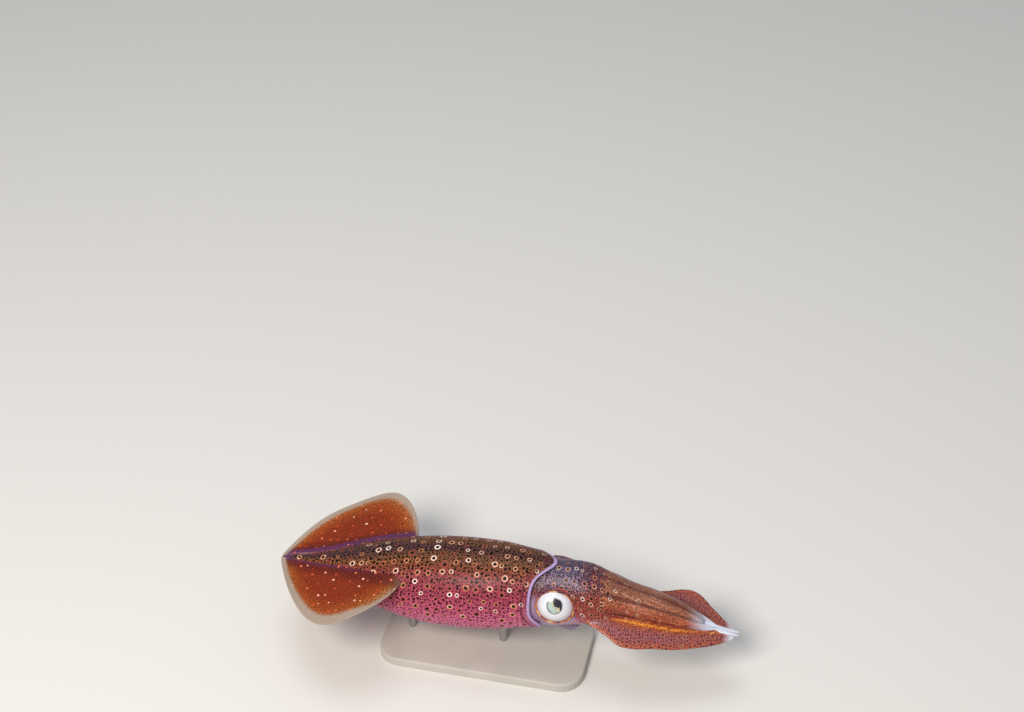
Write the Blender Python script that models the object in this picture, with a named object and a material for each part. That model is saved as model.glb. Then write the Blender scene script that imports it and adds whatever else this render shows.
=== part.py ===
"""A life-size market squid, held over a flat base by two short rods.

The squid swims level with its head towards +X and its back up. Its axis starts at the tail, rises a
little towards the head and droops along the arms. The origin is at the middle of the whole model, on
the plane that the base stands on. Sizes are in metres, and a place along the body is its distance
from the tip of the tail.
"""

import math

import bmesh
import bpy
import numpy as np

# Lengths along the body
MANTLE_LENGTH = 0.150
HEAD_START = 0.128
CROWN_START = 0.162
TOTAL_LENGTH = 0.247
TAIL_X = -TOTAL_LENGTH / 2

# Mantle, the muscular tube of the body
MANTLE_RADIUS = 0.0240
MANTLE_DEPTH_SHARE = 0.98
RIM_SETBACK = 0.0105
RIM_POINT_FORWARD = 0.0055
RIM_DORSAL_SPREAD = math.radians(26)
RIM_LOWER_ANGLE = math.radians(128)
RIM_LOWER_SPREAD = math.radians(24)
RIM_CARRY_FROM = 0.6
RIM_CARRY_POWER = 1.5
TAIL_CROWDING = 0.25

# Fins, whose margin runs from the tail to the widest place and on to the front of the root. Each handle is
# how far the curve is led on from the place before it or back from the place after it
FIN_LENGTH = 0.0725
FIN_HALF_SPAN = 0.0495
FIN_WIDEST = {"left": 0.0465, "right": 0.0425}
FIN_TAIL = (0.0005, 0.0010)
FIN_FRONT_OUT = 0.0165
FIN_TAIL_HANDLE = (0.0085, 0.0210)
FIN_REAR_HANDLE = (-0.0190, 0)
FIN_FORE_HANDLE = (0.0140, 0)
FIN_FRONT_HANDLE = (-0.0040, 0.0170)
FIN_ROOT_FROM = 0.0005
FIN_ROOT_SHORTER = 0.001
FIN_ROOT_DEPTH = 0.8
FIN_ROOT_ANGLE = math.radians(56)
FIN_ROOT_THICKNESS = 0.0030
FIN_EDGE_THICKNESS = 0.0007
FIN_THINNING = 0.7
FIN_DROOP = {"left": -0.0045, "right": 0.0005}
FIN_RIPPLE = 0.0016
FIN_HALF_WAVES = 3.2

# Head and eyes
EYE_AT = 0.1522
EYE_OFFSET = 0.0120
EYE_LIFT = 0.0018
EYE_LENGTH_RADIUS = 0.0101
EYE_SIDE_RADIUS = 0.0080
EYE_TURN_UP = math.radians(16)
EYE_TURN_FORWARD = math.radians(8)
EYE_STRETCH = 1.06
EYE_TILT = math.radians(18)

# The orbit round each eye: distance out along the eye's axis and radius, to the crest of the thin lid
ORBIT = [(-0.0070, 0.0060), (-0.0050, 0.0104), (-0.0020, 0.0123), (0.0008, 0.0121), (0.0023, 0.0112),
         (0.0031, 0.0105), (0.0037, 0.0101), (0.0040, 0.0094)]
ORBIT_LEAN = 0.0040

# Funnel, the nozzle under the head
FUNNEL_START = (0.134, -0.0130)
FUNNEL_END = (0.1610, -0.0222)
FUNNEL_ARCH = 0.0022
FUNNEL_RADII = (0.0072, 0.0046)
FUNNEL_FLATNESS = 0.8
FUNNEL_WALL = 0.0009
FUNNEL_BORE_DEPTH = 0.010
FUNNEL_BORE_NARROWING = 0.9

# Arms: the angle from straight up at which each of a side's four stands round the mouth, the half angle
# that it fills there, and the share of the crown's length that it reaches
ARMS = {
    1: {"angle": 19.5, "half_angle": 19.5, "reach": 0.78},
    2: {"angle": 60.0, "half_angle": 21.0, "reach": 0.86},
    3: {"angle": 104.0, "half_angle": 23.0, "reach": 0.97},
    4: {"angle": 153.5, "half_angle": 26.5, "reach": 0.93},
}
ARM_RING_RADIUS = 0.0094
ARM_HALF_DEPTH = 0.0036
ARM_EGG = 0.22
ARM_SIDE_CLEARANCE = 0.6
ARM_SLIMMEST = 0.35
CROWN_GATHER = [(0, 0.86), (0.09, 1.06), (0.15, 1.10), (0.21, 1.07), (0.27, 0.98), (0.34, 0.90),
                (0.45, 0.85), (0.56, 0.76), (0.68, 0.62), (0.80, 0.46), (0.92, 0.30), (1.0, 0.22)]
ARM_TIP = [(0, 1.0), (0.70, 1.0), (0.85, 0.80), (0.95, 0.48), (1.0, 0.16)]
KEEL_SPAN = {
    "left": [(0, 0.0130), (0.15, 0.0155), (0.42, 0.0160), (0.52, 0.0192), (0.60, 0.0230), (0.66, 0.0242),
             (0.71, 0.0228), (0.80, 0.0155), (0.88, 0.0090), (0.95, 0.0038), (1.0, 0.0016)],
    "right": [(0, 0.0135), (0.13, 0.0175), (0.21, 0.0202), (0.32, 0.0238), (0.39, 0.0232), (0.50, 0.0204),
              (0.62, 0.0178), (0.74, 0.0137), (0.86, 0.0088), (0.95, 0.0040), (1.0, 0.0020)],
}
KEEL_EDGE = 0.0006
KEEL_ROOT = 0.0012
KEEL_DROOP = {"left": -0.26, "right": 0.16}
KEEL_LEAST_REACH = 1.1
KEEL_LEAST_EDGE = 0.8
KEEL_LEAST_ROOT = 0.9
KEEL_SHOULDER = 0.8
KEEL_SPACING = 1.25

# Suckers. A run is where a row starts on an arm or club and how long it is, as shares of the length
SUCKER_PAIRS = 9
SUCKER_RUN = (0.17, 0.78)
SUCKER_CROWDING = 0.85
SUCKER_SHARE = 0.25
SUCKER_SPREAD = 0.38
SUCKER_SMALLEST = 0.00028
CLUB_SUCKER_PAIRS = 5
CLUB_SUCKER_RUN = (0.12, 0.76)
CLUB_SUCKER_SHARE = 0.32
CLUB_SUCKER_SPREAD = 0.5

# A sucker's root, rim and hollow: height on its axis and radius, both as shares of the sucker's radius
SUCKER_PROFILE = [(-0.7, 0.75), (0.8, 1.0), (0.45, 0.5)]

# Tentacles
TENTACLE_OFFSET = 0.0027
TENTACLE_RADIUS = 0.0019
CLUB_START = 0.66
CLUB_TIP_OFFSET = 0.0019
CLUB_RADII = (0.0012, 0.0009)
CLUB_RISE = 0.0008
CLUB_SETTING_IN = 4
CLUB_ROUNDED_FROM = 0.72
CLUB_BLUNTNESS = 0.03

# Stand
BASE_LENGTH = 0.110
BASE_WIDTH = 0.054
BASE_THICKNESS = 0.005
BASE_CORNER = 0.012
BASE_BEVEL = 0.0008
BASE_SHIFT = -0.010
ROD_RADIUS = 0.0020
ROD_PLACES = {"stand_rod_rear": 0.072, "stand_rod_front": 0.122}
TAIL_HEIGHT = 0.039

# Touching pieces keep this gap
GAP = 0.0003

# Faces that meet at more than this angle show an edge
SHARP_ANGLE = math.radians(50)

# Colour, roughness and metallic share of each material
FINISHES = {
    "skin": ((0.42, 0.10, 0.09), 0.35, 0.0),
    "fin_skin": ((0.35, 0.09, 0.03), 0.35, 0.0),
    "arm_skin": ((0.45, 0.13, 0.06), 0.35, 0.0),
    "pale_flesh": ((0.55, 0.52, 0.62), 0.3, 0.0),
    "eye_white": ((0.85, 0.87, 0.85), 0.12, 0.0),
    "stand_board": ((0.72, 0.71, 0.68), 0.45, 0.0),
    "stand_steel": ((0.6, 0.6, 0.6), 0.3, 1.0),
}

SIDES = {"left": 1, "right": -1}


def smooth(table, at):
    """Values at some places on a smooth curve through (place, value) pairs that never overshoots them."""
    xs, ys = np.array(table, float).T
    steps = np.diff(xs)
    slopes = np.diff(ys) / steps
    turns = np.zeros(len(xs))
    same_way = slopes[1:] * slopes[:-1] > 0
    weight_a = 2 * steps[1:] + steps[:-1]
    weight_b = steps[1:] + 2 * steps[:-1]
    with np.errstate(divide="ignore", invalid="ignore"):
        mean = (weight_a + weight_b) / (weight_a / slopes[:-1] + weight_b / slopes[1:])
    turns[1:-1] = np.where(same_way, mean, 0)
    turns[0], turns[-1] = slopes[0], slopes[-1]
    at = np.clip(np.asarray(at, float), xs[0], xs[-1])
    k = np.clip(np.searchsorted(xs, at, side="right") - 1, 0, len(xs) - 2)
    share = (at - xs[k]) / steps[k]
    rise = share * share * (3 - 2 * share)
    bend_a = share * (1 - share) ** 2
    bend_b = -share * share * (1 - share)
    return ys[k] + rise * (ys[k + 1] - ys[k]) + steps[k] * (bend_a * turns[k] + bend_b * turns[k + 1])


# Height of the body's axis above the tail
AXIS_RISE = [(0, 0), (0.040, 0.0002), (0.072, 0.0012), (0.104, 0.0035), (0.140, 0.0068), (0.165, 0.0078),
             (0.190, 0.0052), (0.215, 0.0010), (0.246, -0.0046)]

# Mantle radius as a share of its largest
MANTLE_SHAPE = [(0, 0.05), (0.010, 0.13), (0.025, 0.29), (0.040, 0.52), (0.055, 0.73), (0.072, 0.90),
                (0.088, 0.98), (0.102, 1.0), (0.118, 0.97), (0.132, 0.88), (0.142, 0.82), (0.150, 0.80)]

# The head's half width, half height and rise above the body's axis, and the places of its rings
HEAD_WIDTH = [(0.128, 0.0182), (0.139, 0.0178), (0.144, 0.0164), (0.151, 0.0142), (0.158, 0.0140),
              (0.164, 0.0150), (0.169, 0.0154), (0.1735, 0.0146), (0.1755, 0.0122), (0.1765, 0.0080)]
HEAD_HEIGHT = [(0.128, 0.0174), (0.138, 0.0178), (0.150, 0.0194), (0.158, 0.0190), (0.165, 0.0172),
               (0.170, 0.0155), (0.1735, 0.0144), (0.1755, 0.0122), (0.1765, 0.0080)]
HEAD_LIFT = [(0.128, -0.0004), (0.148, -0.0014), (0.158, -0.0002), (0.168, 0.0006), (0.1765, 0.0002)]
HEAD_RINGS = (HEAD_START, 0.135, 0.141, 0.147, 0.153, 0.159, 0.165, 0.170, 0.1735, 0.1755, 0.1765)


def axis_height(s):
    """Height of the body's axis at a place along the body."""
    return TAIL_HEIGHT + smooth(AXIS_RISE, s)


def mantle_radius(s):
    """Radius of the mantle at a place along the body."""
    return MANTLE_RADIUS * smooth(MANTLE_SHAPE, s)


def put(name, points, faces, material):
    """A mesh object in the scene, with smooth faces that point outwards."""
    mesh = bpy.data.meshes.new(name)
    mesh.from_pydata([tuple(p) for p in points], [], faces)
    bm = bmesh.new()
    bm.from_mesh(mesh)
    bmesh.ops.recalc_face_normals(bm, faces=bm.faces)
    bm.to_mesh(mesh)
    bm.free()
    mesh.shade_smooth()
    mesh.set_sharp_from_angle(angle=SHARP_ANGLE)
    if material:
        mesh.materials.append(material)
    made = bpy.data.objects.new(name, mesh)
    bpy.context.scene.collection.objects.link(made)
    return made


def loft(name, rings, material):
    """A closed solid through rings of points, each end closed by a fan to the ring's middle."""
    rings = np.asarray(rings, float)
    count, around, _ = rings.shape
    points = np.vstack([rings.reshape(-1, 3), rings[0].mean(0), rings[-1].mean(0)])
    first, last = count * around, count * around + 1
    faces = []
    for j in range(around):
        k = (j + 1) % around
        for i in range(count - 1):
            a, b = i * around + j, i * around + k
            c, d = b + around, a + around
            faces += [(a, b, c), (a, c, d)]
        faces.append((first, k, j))
        faces.append((last, (count - 1) * around + j, (count - 1) * around + k))
    return put(name, points, faces, material)


def applied(target):
    """The object with its modifiers applied."""
    graph = bpy.context.evaluated_depsgraph_get()
    mesh = bpy.data.meshes.new_from_object(target.evaluated_get(graph))
    target.modifiers.clear()
    old = target.data
    target.data = mesh
    bpy.data.meshes.remove(old)
    return target


def keep_largest(target):
    """Drops every loose scrap that a cut has left."""
    bm = bmesh.new()
    bm.from_mesh(target.data)
    groups, seen = [], set()
    for start in bm.verts:
        if start in seen:
            continue
        group, queue = [], [start]
        seen.add(start)
        while queue:
            here = queue.pop()
            group.append(here)
            for edge in here.link_edges:
                other = edge.other_vert(here)
                if other not in seen:
                    seen.add(other)
                    queue.append(other)
        groups.append(group)
    groups.sort(key=len)
    scraps = [v for group in groups[:-1] for v in group]
    bmesh.ops.delete(bm, geom=scraps, context="VERTS")
    bm.to_mesh(target.data)
    bm.free()
    return target


def boolean(target, operation, others):
    """One Boolean between the target and a collection of closed objects, applied."""
    tools = bpy.data.collections.new("tools")
    for other in others:
        tools.objects.link(other)
    step = target.modifiers.new("boolean", "BOOLEAN")
    step.operation = operation
    step.operand_type = "COLLECTION"
    step.collection = tools
    step.solver = "EXACT"
    applied(target)
    for other in others:
        bpy.data.objects.remove(other)
    bpy.data.collections.remove(tools)
    return keep_largest(target)


def material(name, colour, roughness, metallic):
    """A material of one colour."""
    made = bpy.data.materials.new(name)
    made.use_nodes = True
    shader = made.node_tree.nodes["Principled BSDF"]
    shader.inputs["Base Color"].default_value = (*colour, 1)
    shader.inputs["Roughness"].default_value = roughness
    shader.inputs["Metallic"].default_value = metallic
    return made


def rim_forward(angle):
    """How far the mantle's rim runs forward at an angle from the back: a point over the head, two below."""
    dorsal = RIM_SETBACK * np.exp(-(angle / RIM_DORSAL_SPREAD) ** 2)
    lower = RIM_POINT_FORWARD * np.exp(-((np.abs(angle) - RIM_LOWER_ANGLE) / RIM_LOWER_SPREAD) ** 2)
    return dorsal + lower


def mantle_solid(name, finish, grow=0.0, rings=20, around=32):
    """The mantle: rings across the axis, from the pointed tail to the open rim."""
    share = np.linspace(0, 1, rings)
    end = MANTLE_LENGTH - RIM_SETBACK
    places = end * ((1 - TAIL_CROWDING) * share + TAIL_CROWDING * share**2)
    angle = np.linspace(-math.pi, math.pi, around, endpoint=False)
    made = []
    for s in places:
        radius = float(mantle_radius(s)) + grow
        carried = max(0.0, (s - RIM_CARRY_FROM * end) / ((1 - RIM_CARRY_FROM) * end))
        forward = rim_forward(angle) * carried**RIM_CARRY_POWER
        x = TAIL_X + s + forward
        y = radius * np.sin(angle)
        z = axis_height(s + forward) + radius * MANTLE_DEPTH_SHARE * np.cos(angle)
        made.append(np.stack([x, y, z], -1))
    return loft(name, made, finish)


def bezier(a, b, c, d, t):
    """Points on a cubic curve from a to d that leaves towards b and arrives from c."""
    t = t[:, None]
    return (1 - t) ** 3 * a + 3 * t * (1 - t) ** 2 * b + 3 * t * t * (1 - t) * c + t**3 * d


def fin_margin(side, count):
    """The fin's outer edge from above, as (place along the body, distance from the midline) pairs."""
    tail = np.array(FIN_TAIL)
    widest = np.array([FIN_WIDEST[side], FIN_HALF_SPAN])
    front = np.array([FIN_LENGTH, FIN_FRONT_OUT])
    rear_share = np.linspace(0, 1, count // 2 + 1)
    front_share = np.linspace(0, 1, count - count // 2)
    rear_half = bezier(tail, tail + FIN_TAIL_HANDLE, widest + FIN_REAR_HANDLE, widest, rear_share)
    front_half = bezier(widest, widest + FIN_FORE_HANDLE, front + FIN_FRONT_HANDLE, front, front_share)
    return np.vstack([rear_half[:-1], front_half])


def fin_solid(side, finish, along=22, across=7):
    """One fin: a sheet of muscle from inside the mantle's back to a thin edge, rippled and drooping."""
    sign = SIDES[side]
    margin = fin_margin(side, along)
    root_s = np.linspace(FIN_ROOT_FROM, FIN_LENGTH - FIN_ROOT_SHORTER, along)
    root_radius = mantle_radius(root_s)
    root_y = root_radius * math.sin(FIN_ROOT_ANGLE) * FIN_ROOT_DEPTH
    share = np.linspace(0, 1, across)[None, :]
    s = root_s[:, None] * (1 - share) + margin[:, :1] * share
    y = root_y[:, None] * (1 - share) + margin[:, 1:] * share
    root_z = axis_height(root_s) + root_radius * math.cos(FIN_ROOT_ANGLE)
    edge_z = axis_height(margin[:, 0]) + mantle_radius(margin[:, 0]) * math.cos(FIN_ROOT_ANGLE)
    edge_z = edge_z - FIN_DROOP[side] * np.sin(np.pi * np.clip(margin[:, 0] / FIN_LENGTH, 0, 1))
    ripple = FIN_RIPPLE * np.sin(margin[:, :1] / FIN_LENGTH * FIN_HALF_WAVES * math.pi) * share**2
    z = root_z[:, None] * (1 - share) + edge_z[:, None] * share + ripple
    thick = FIN_ROOT_THICKNESS + (FIN_EDGE_THICKNESS - FIN_ROOT_THICKNESS) * share**FIN_THINNING
    thick = thick * np.ones((len(s), 1))
    upper = np.stack([TAIL_X + s, sign * y, z + thick / 2], -1).reshape(-1, 3)
    lower = np.stack([TAIL_X + s, sign * y, z - thick / 2], -1).reshape(-1, 3)
    rows, columns = s.shape
    half = rows * columns
    faces = []
    for i in range(rows - 1):
        for j in range(columns - 1):
            a, b = i * columns + j, i * columns + j + 1
            c, d = b + columns, a + columns
            faces += [(a, b, c), (a, c, d)]
            faces += [(half + a, half + c, half + b), (half + a, half + d, half + c)]
    border = [(i, 0) for i in range(rows)] + [(rows - 1, j) for j in range(1, columns)]
    border += [(i, columns - 1) for i in range(rows - 2, -1, -1)]
    border += [(0, j) for j in range(columns - 2, 0, -1)]
    border = [i * columns + j for i, j in border]
    for k, here in enumerate(border):
        there = border[(k + 1) % len(border)]
        faces += [(here, there, half + there), (here, half + there, half + here)]
    return put(f"fin_{side}", np.vstack([upper, lower]), faces, finish)


def eye_rings(side, profile, around, lean=0.0):
    """Rings about an eye's axis from (distance out, radius) pairs, stretched lengthwise and turned."""
    angle = np.linspace(0, 2 * math.pi, around, endpoint=False)
    out, radius = np.array(profile).T[:, :, None]
    long_way = radius * EYE_STRETCH * np.cos(angle)
    short_way = radius / EYE_STRETCH * np.sin(angle)
    x = long_way * math.cos(EYE_TILT) + short_way * math.sin(EYE_TILT)
    z = short_way * math.cos(EYE_TILT) - long_way * math.sin(EYE_TILT)
    x = x + lean * (out.max() - out) / np.ptp(out)
    rings = np.stack([x, SIDES[side] * (out + 0 * angle), z], -1)
    up, forward = EYE_TURN_UP * SIDES[side], -EYE_TURN_FORWARD * SIDES[side]
    about_x = np.array([
        [1, 0, 0],
        [0, math.cos(up), -math.sin(up)],
        [0, math.sin(up), math.cos(up)],
    ])
    about_z = np.array([
        [math.cos(forward), -math.sin(forward), 0],
        [math.sin(forward), math.cos(forward), 0],
        [0, 0, 1],
    ])
    centre = (TAIL_X + EYE_AT, SIDES[side] * EYE_OFFSET, float(axis_height(EYE_AT)) + EYE_LIFT)
    return rings @ about_x.T @ about_z.T + np.array(centre)


def eye_solid(side, name, finish, grow=0.0, around=22, rows=11):
    """An eyeball: an ellipsoid a little longer than it is high."""
    polar = math.pi * np.arange(1, rows) / rows
    out = -(EYE_SIDE_RADIUS + grow) * np.cos(polar)
    radius = (EYE_LENGTH_RADIUS + grow) * np.sin(polar)
    profile = np.stack([out, radius], -1)
    return loft(name, eye_rings(side, profile, around), finish)


def orbit(side, around=24):
    """The swelling of the head that holds an eye, up to the lid's crest."""
    return loft("orbit", eye_rings(side, ORBIT, around, ORBIT_LEAN), None)


def head_solid(name, finish, grow=0.0, around=30):
    """The head: a barrel from inside the mantle's rim to the root of the arms."""
    places = np.array(HEAD_RINGS)
    places[0] -= grow
    places[-1] += grow
    angle = np.linspace(-math.pi, math.pi, around, endpoint=False)
    rings = []
    for s in places:
        y = (smooth(HEAD_WIDTH, s) + grow) * np.sin(angle)
        z = axis_height(s) + smooth(HEAD_LIFT, s) + (smooth(HEAD_HEIGHT, s) + grow) * np.cos(angle)
        rings.append(np.stack([np.full(around, TAIL_X + s), y, z], -1))
    return loft(name, rings, finish)


def funnel_solid(name, finish, grow=0.0, around=14, stations=7, hollow=True):
    """The funnel: a flattened nozzle that bends down and forward, open at its front end."""
    start, end = np.array(FUNNEL_START), np.array(FUNNEL_END)
    share = np.linspace(0, 1, stations)
    path = start * (1 - share[:, None]) + end * share[:, None]
    path[:, 1] += FUNNEL_ARCH * np.sin(math.pi * share)
    steps = np.gradient(path, axis=0)
    steps /= np.linalg.norm(steps, axis=1)[:, None]
    radius = FUNNEL_RADII[0] + (FUNNEL_RADII[1] - FUNNEL_RADII[0]) * share
    angle = np.linspace(0, 2 * math.pi, around, endpoint=False)
    floor = float(axis_height(FUNNEL_START[0]))

    def ring(place, step, size):
        across = size * np.cos(angle)
        down = size * FUNNEL_FLATNESS * np.sin(angle)
        return np.stack([TAIL_X + place[0] - step[1] * down, across, floor + place[1] + step[0] * down], -1)

    rings = [ring(p, d, r + grow) for p, d, r in zip(path, steps, radius)]
    if hollow:
        back = path[-1] - steps[-1] * FUNNEL_BORE_DEPTH
        rings.append(ring(path[-1], steps[-1], radius[-1] - FUNNEL_WALL))
        rings.append(ring(back, steps[-1], (radius[-1] - FUNNEL_WALL) * FUNNEL_BORE_NARROWING))
    return loft(name, rings, finish)


def arm_place(arm, side, t):
    """Centre, outward direction, half width and half depth of an arm at a share t of the crown."""
    shape = ARMS[arm]
    gather = float(smooth(CROWN_GATHER, t))
    size = gather * float(smooth(ARM_TIP, t / shape["reach"]))
    s = CROWN_START + t * (TOTAL_LENGTH - CROWN_START)
    angle = math.radians(shape["angle"])
    outward = np.array([0, SIDES[side] * math.sin(angle), math.cos(angle)])
    centre = np.array([TAIL_X + s, 0, float(axis_height(s))]) + outward * ARM_RING_RADIUS * gather
    depth = ARM_HALF_DEPTH * size
    width = ARM_RING_RADIUS * math.sin(math.radians(shape["half_angle"])) * size - ARM_SIDE_CLEARANCE * GAP
    return centre, outward, max(width, ARM_SLIMMEST * depth), depth


def arm_section(arm, side, t, around):
    """The outline of an arm: an egg, wide end out, which arm 3 draws out into a thin keel."""
    centre, outward, width, depth = arm_place(arm, side, t)
    across = np.cross([1, 0, 0], outward) * SIDES[side]
    if arm != 3:
        angle = np.linspace(0, 2 * math.pi, around, endpoint=False)
        wide = width * (1 + ARM_EGG * np.sin(angle)) * np.cos(angle)
        return centre + np.outer(wide, across) + np.outer(depth * np.sin(angle), outward)
    reach = max(float(smooth(KEEL_SPAN[side], t)) - abs(centre[1]), KEEL_LEAST_REACH * depth)
    inner = np.linspace(0.5 * math.pi, 1.5 * math.pi, around // 2)
    run = np.linspace(0, 1, around // 2 + 1)[1:] ** KEEL_SPACING
    edge = min(KEEL_EDGE, KEEL_LEAST_EDGE * width) / 2
    keel = edge + (min(KEEL_ROOT, KEEL_LEAST_ROOT * width) - edge) * (1 - run)
    body = (width - keel) * np.exp(-(reach * run / (KEEL_SHOULDER * depth)) ** 2)
    half = keel + np.maximum(body, 0)
    sag = KEEL_DROOP[side] * reach * run**2
    out = np.concatenate([depth * np.cos(inner), reach * run, reach * run[::-1]])
    up = np.concatenate([width * (1 + ARM_EGG * np.cos(inner)) * np.sin(inner), -half, half[::-1]])
    drop = np.concatenate([np.zeros(len(inner)), sag, sag[::-1]])
    return centre + np.outer(out, outward) + np.outer(up, across) - np.outer(drop, [0, 0, 1])


def arm_solid(arm, side, finish, stations=15):
    """An arm from inside the head to its tip."""
    last = ARMS[arm]["reach"]
    around = 12 if arm == 3 else 10
    rings = [arm_section(arm, side, t, around) for t in last * np.linspace(0, 1, stations)]
    return loft(f"arm_{side}_{arm}", rings, finish)


def sucker(place, axis, radius, sides=5):
    """A short cup on a sunken root, with a flat rim and a hollow, on an axis away from the arm."""
    axis = np.asarray(axis) / np.linalg.norm(axis)
    first = np.cross(axis, [1, 0, 0])
    first /= np.linalg.norm(first)
    second = np.cross(axis, first)
    turn = np.linspace(0, 2 * math.pi, sides, endpoint=False)
    circle = np.outer(np.cos(turn), first) + np.outer(np.sin(turn), second)
    rings = [place + axis * height * radius + circle * wide * radius for height, wide in SUCKER_PROFILE]
    return loft("sucker", rings, None)


def arm_suckers(arm, side):
    """Two staggered rows of suckers on an arm's inner face, smaller towards its tip."""
    made = []
    for k in range(2 * SUCKER_PAIRS):
        share = k / (2 * SUCKER_PAIRS - 1)
        t = ARMS[arm]["reach"] * (SUCKER_RUN[0] + SUCKER_RUN[1] * share**SUCKER_CROWDING)
        centre, outward, width, depth = arm_place(arm, side, t)
        across = np.cross([1, 0, 0], outward) * (1 if k % 2 else -1)
        lean = math.sqrt(1 - SUCKER_SPREAD**2)
        width *= 1 - ARM_EGG * lean
        place = centre - outward * depth * lean + across * width * SUCKER_SPREAD
        axis = -outward * lean / depth + across * SUCKER_SPREAD / width
        made.append(sucker(place, axis, max(SUCKER_SHARE * width / (1 - ARM_EGG), SUCKER_SMALLEST)))
    return made


def tentacle_section(side, t, around):
    """The outline of a tentacle across the crown: a round stalk that turns into a flat, blunt club."""
    s = CROWN_START + t * (TOTAL_LENGTH - CROWN_START)
    club = min(1.0, max(0.0, (t - CLUB_START) / (1 - CLUB_START)))
    gather = float(smooth(CROWN_GATHER, t))
    y = TENTACLE_OFFSET * gather * (1 - club) + CLUB_TIP_OFFSET * club
    z = axis_height(s) + CLUB_RISE * club
    stalk = TENTACLE_RADIUS * gather
    blend = min(1.0, club * CLUB_SETTING_IN)
    rounding = max(0.0, (club - CLUB_ROUNDED_FROM) / (1 - CLUB_ROUNDED_FROM))
    end = math.sqrt(max(CLUB_BLUNTNESS, 1 - rounding**2))
    width = (stalk * (1 - blend) + CLUB_RADII[0] * blend) * end
    depth = (stalk * (1 - blend) + CLUB_RADII[1] * blend) * end
    angle = np.linspace(0, 2 * math.pi, around, endpoint=False)
    across = SIDES[side] * y + width * np.cos(angle)
    return np.stack([np.full(around, TAIL_X + s), across, z + depth * np.sin(angle)], -1)


def club_suckers(side):
    """Two staggered rows of small suckers under a club."""
    made = []
    for k in range(2 * CLUB_SUCKER_PAIRS):
        share = k / (2 * CLUB_SUCKER_PAIRS - 1)
        t = CLUB_START + (1 - CLUB_START) * (CLUB_SUCKER_RUN[0] + CLUB_SUCKER_RUN[1] * share)
        ring = tentacle_section(side, t, 4)
        centre = ring.mean(0)
        width, depth = np.ptp(ring[:, 1]) / 2, np.ptp(ring[:, 2]) / 2
        lean = CLUB_SUCKER_SPREAD * (1 if k % 2 else -1)
        place = centre + [0, lean * width, -depth * math.sqrt(1 - lean**2)]
        axis = [0, lean / width, -math.sqrt(1 - lean**2) / depth]
        made.append(sucker(place, axis, CLUB_SUCKER_SHARE * width, sides=4))
    return made


def tentacle_solids(side, finish, around=10, stalk_stations=8, club_stations=12):
    """A tentacle in two lengths: the stalk inside the arms and the club that shows between their tips."""
    gap_share = GAP / (TOTAL_LENGTH - CROWN_START)
    stalk_places = np.linspace(0, CLUB_START - gap_share, stalk_stations)
    club_places = CLUB_START + (1 - CLUB_START) * np.linspace(0, 1, club_stations)
    stalk = [tentacle_section(side, t, around) for t in stalk_places]
    club = [tentacle_section(side, t, around) for t in club_places]
    return loft(f"tentacle_{side}_stalk", stalk, finish), loft(f"tentacle_{side}_club", club, finish)


def rod(name, place, finish, around=20):
    """A display rod from the base up into the mantle's underside."""
    foot = BASE_THICKNESS + GAP
    top = float(axis_height(place))
    bm = bmesh.new()
    length = top - foot
    radii = {"radius1": ROD_RADIUS, "radius2": ROD_RADIUS}
    bmesh.ops.create_cone(bm, cap_ends=True, segments=around, depth=length, **radii)
    bmesh.ops.translate(bm, verts=bm.verts, vec=(0, 0, length / 2))
    mesh = bpy.data.meshes.new(name)
    bm.to_mesh(mesh)
    bm.free()
    mesh.shade_smooth()
    mesh.set_sharp_from_angle(angle=SHARP_ANGLE)
    mesh.materials.append(finish)
    made = bpy.data.objects.new(name, mesh)
    made.location = (TAIL_X + place, 0, foot)
    bpy.context.scene.collection.objects.link(made)
    return made


def base(finish, corner_steps=6):
    """The flat base: a plate with round corners and a small bevel."""
    outline = []
    for k, (x_side, y_side) in enumerate([(1, 1), (-1, 1), (-1, -1), (1, -1)]):
        x = x_side * (BASE_LENGTH / 2 - BASE_CORNER)
        y = y_side * (BASE_WIDTH / 2 - BASE_CORNER)
        for step in range(corner_steps + 1):
            angle = math.pi / 2 * (k + step / corner_steps)
            outline.append((x + BASE_CORNER * math.cos(angle), y + BASE_CORNER * math.sin(angle), 0))
    bm = bmesh.new()
    face = bm.faces.new([bm.verts.new(p) for p in outline])
    raised = bmesh.ops.extrude_face_region(bm, geom=[face])["geom"]
    top = [v for v in raised if isinstance(v, bmesh.types.BMVert)]
    bmesh.ops.translate(bm, verts=top, vec=(0, 0, BASE_THICKNESS))
    bmesh.ops.recalc_face_normals(bm, faces=bm.faces)
    rim = [e for e in bm.edges if min(v.co.z for v in e.verts) > BASE_THICKNESS / 2]
    bmesh.ops.bevel(bm, geom=rim, offset=BASE_BEVEL, segments=2, profile=0.5, affect="EDGES")
    mesh = bpy.data.meshes.new("stand_base")
    bm.to_mesh(mesh)
    bm.free()
    mesh.materials.append(finish)
    made = bpy.data.objects.new("stand_base", mesh)
    made.location = (BASE_SHIFT, 0, 0)
    bpy.context.scene.collection.objects.link(made)
    return made


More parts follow.
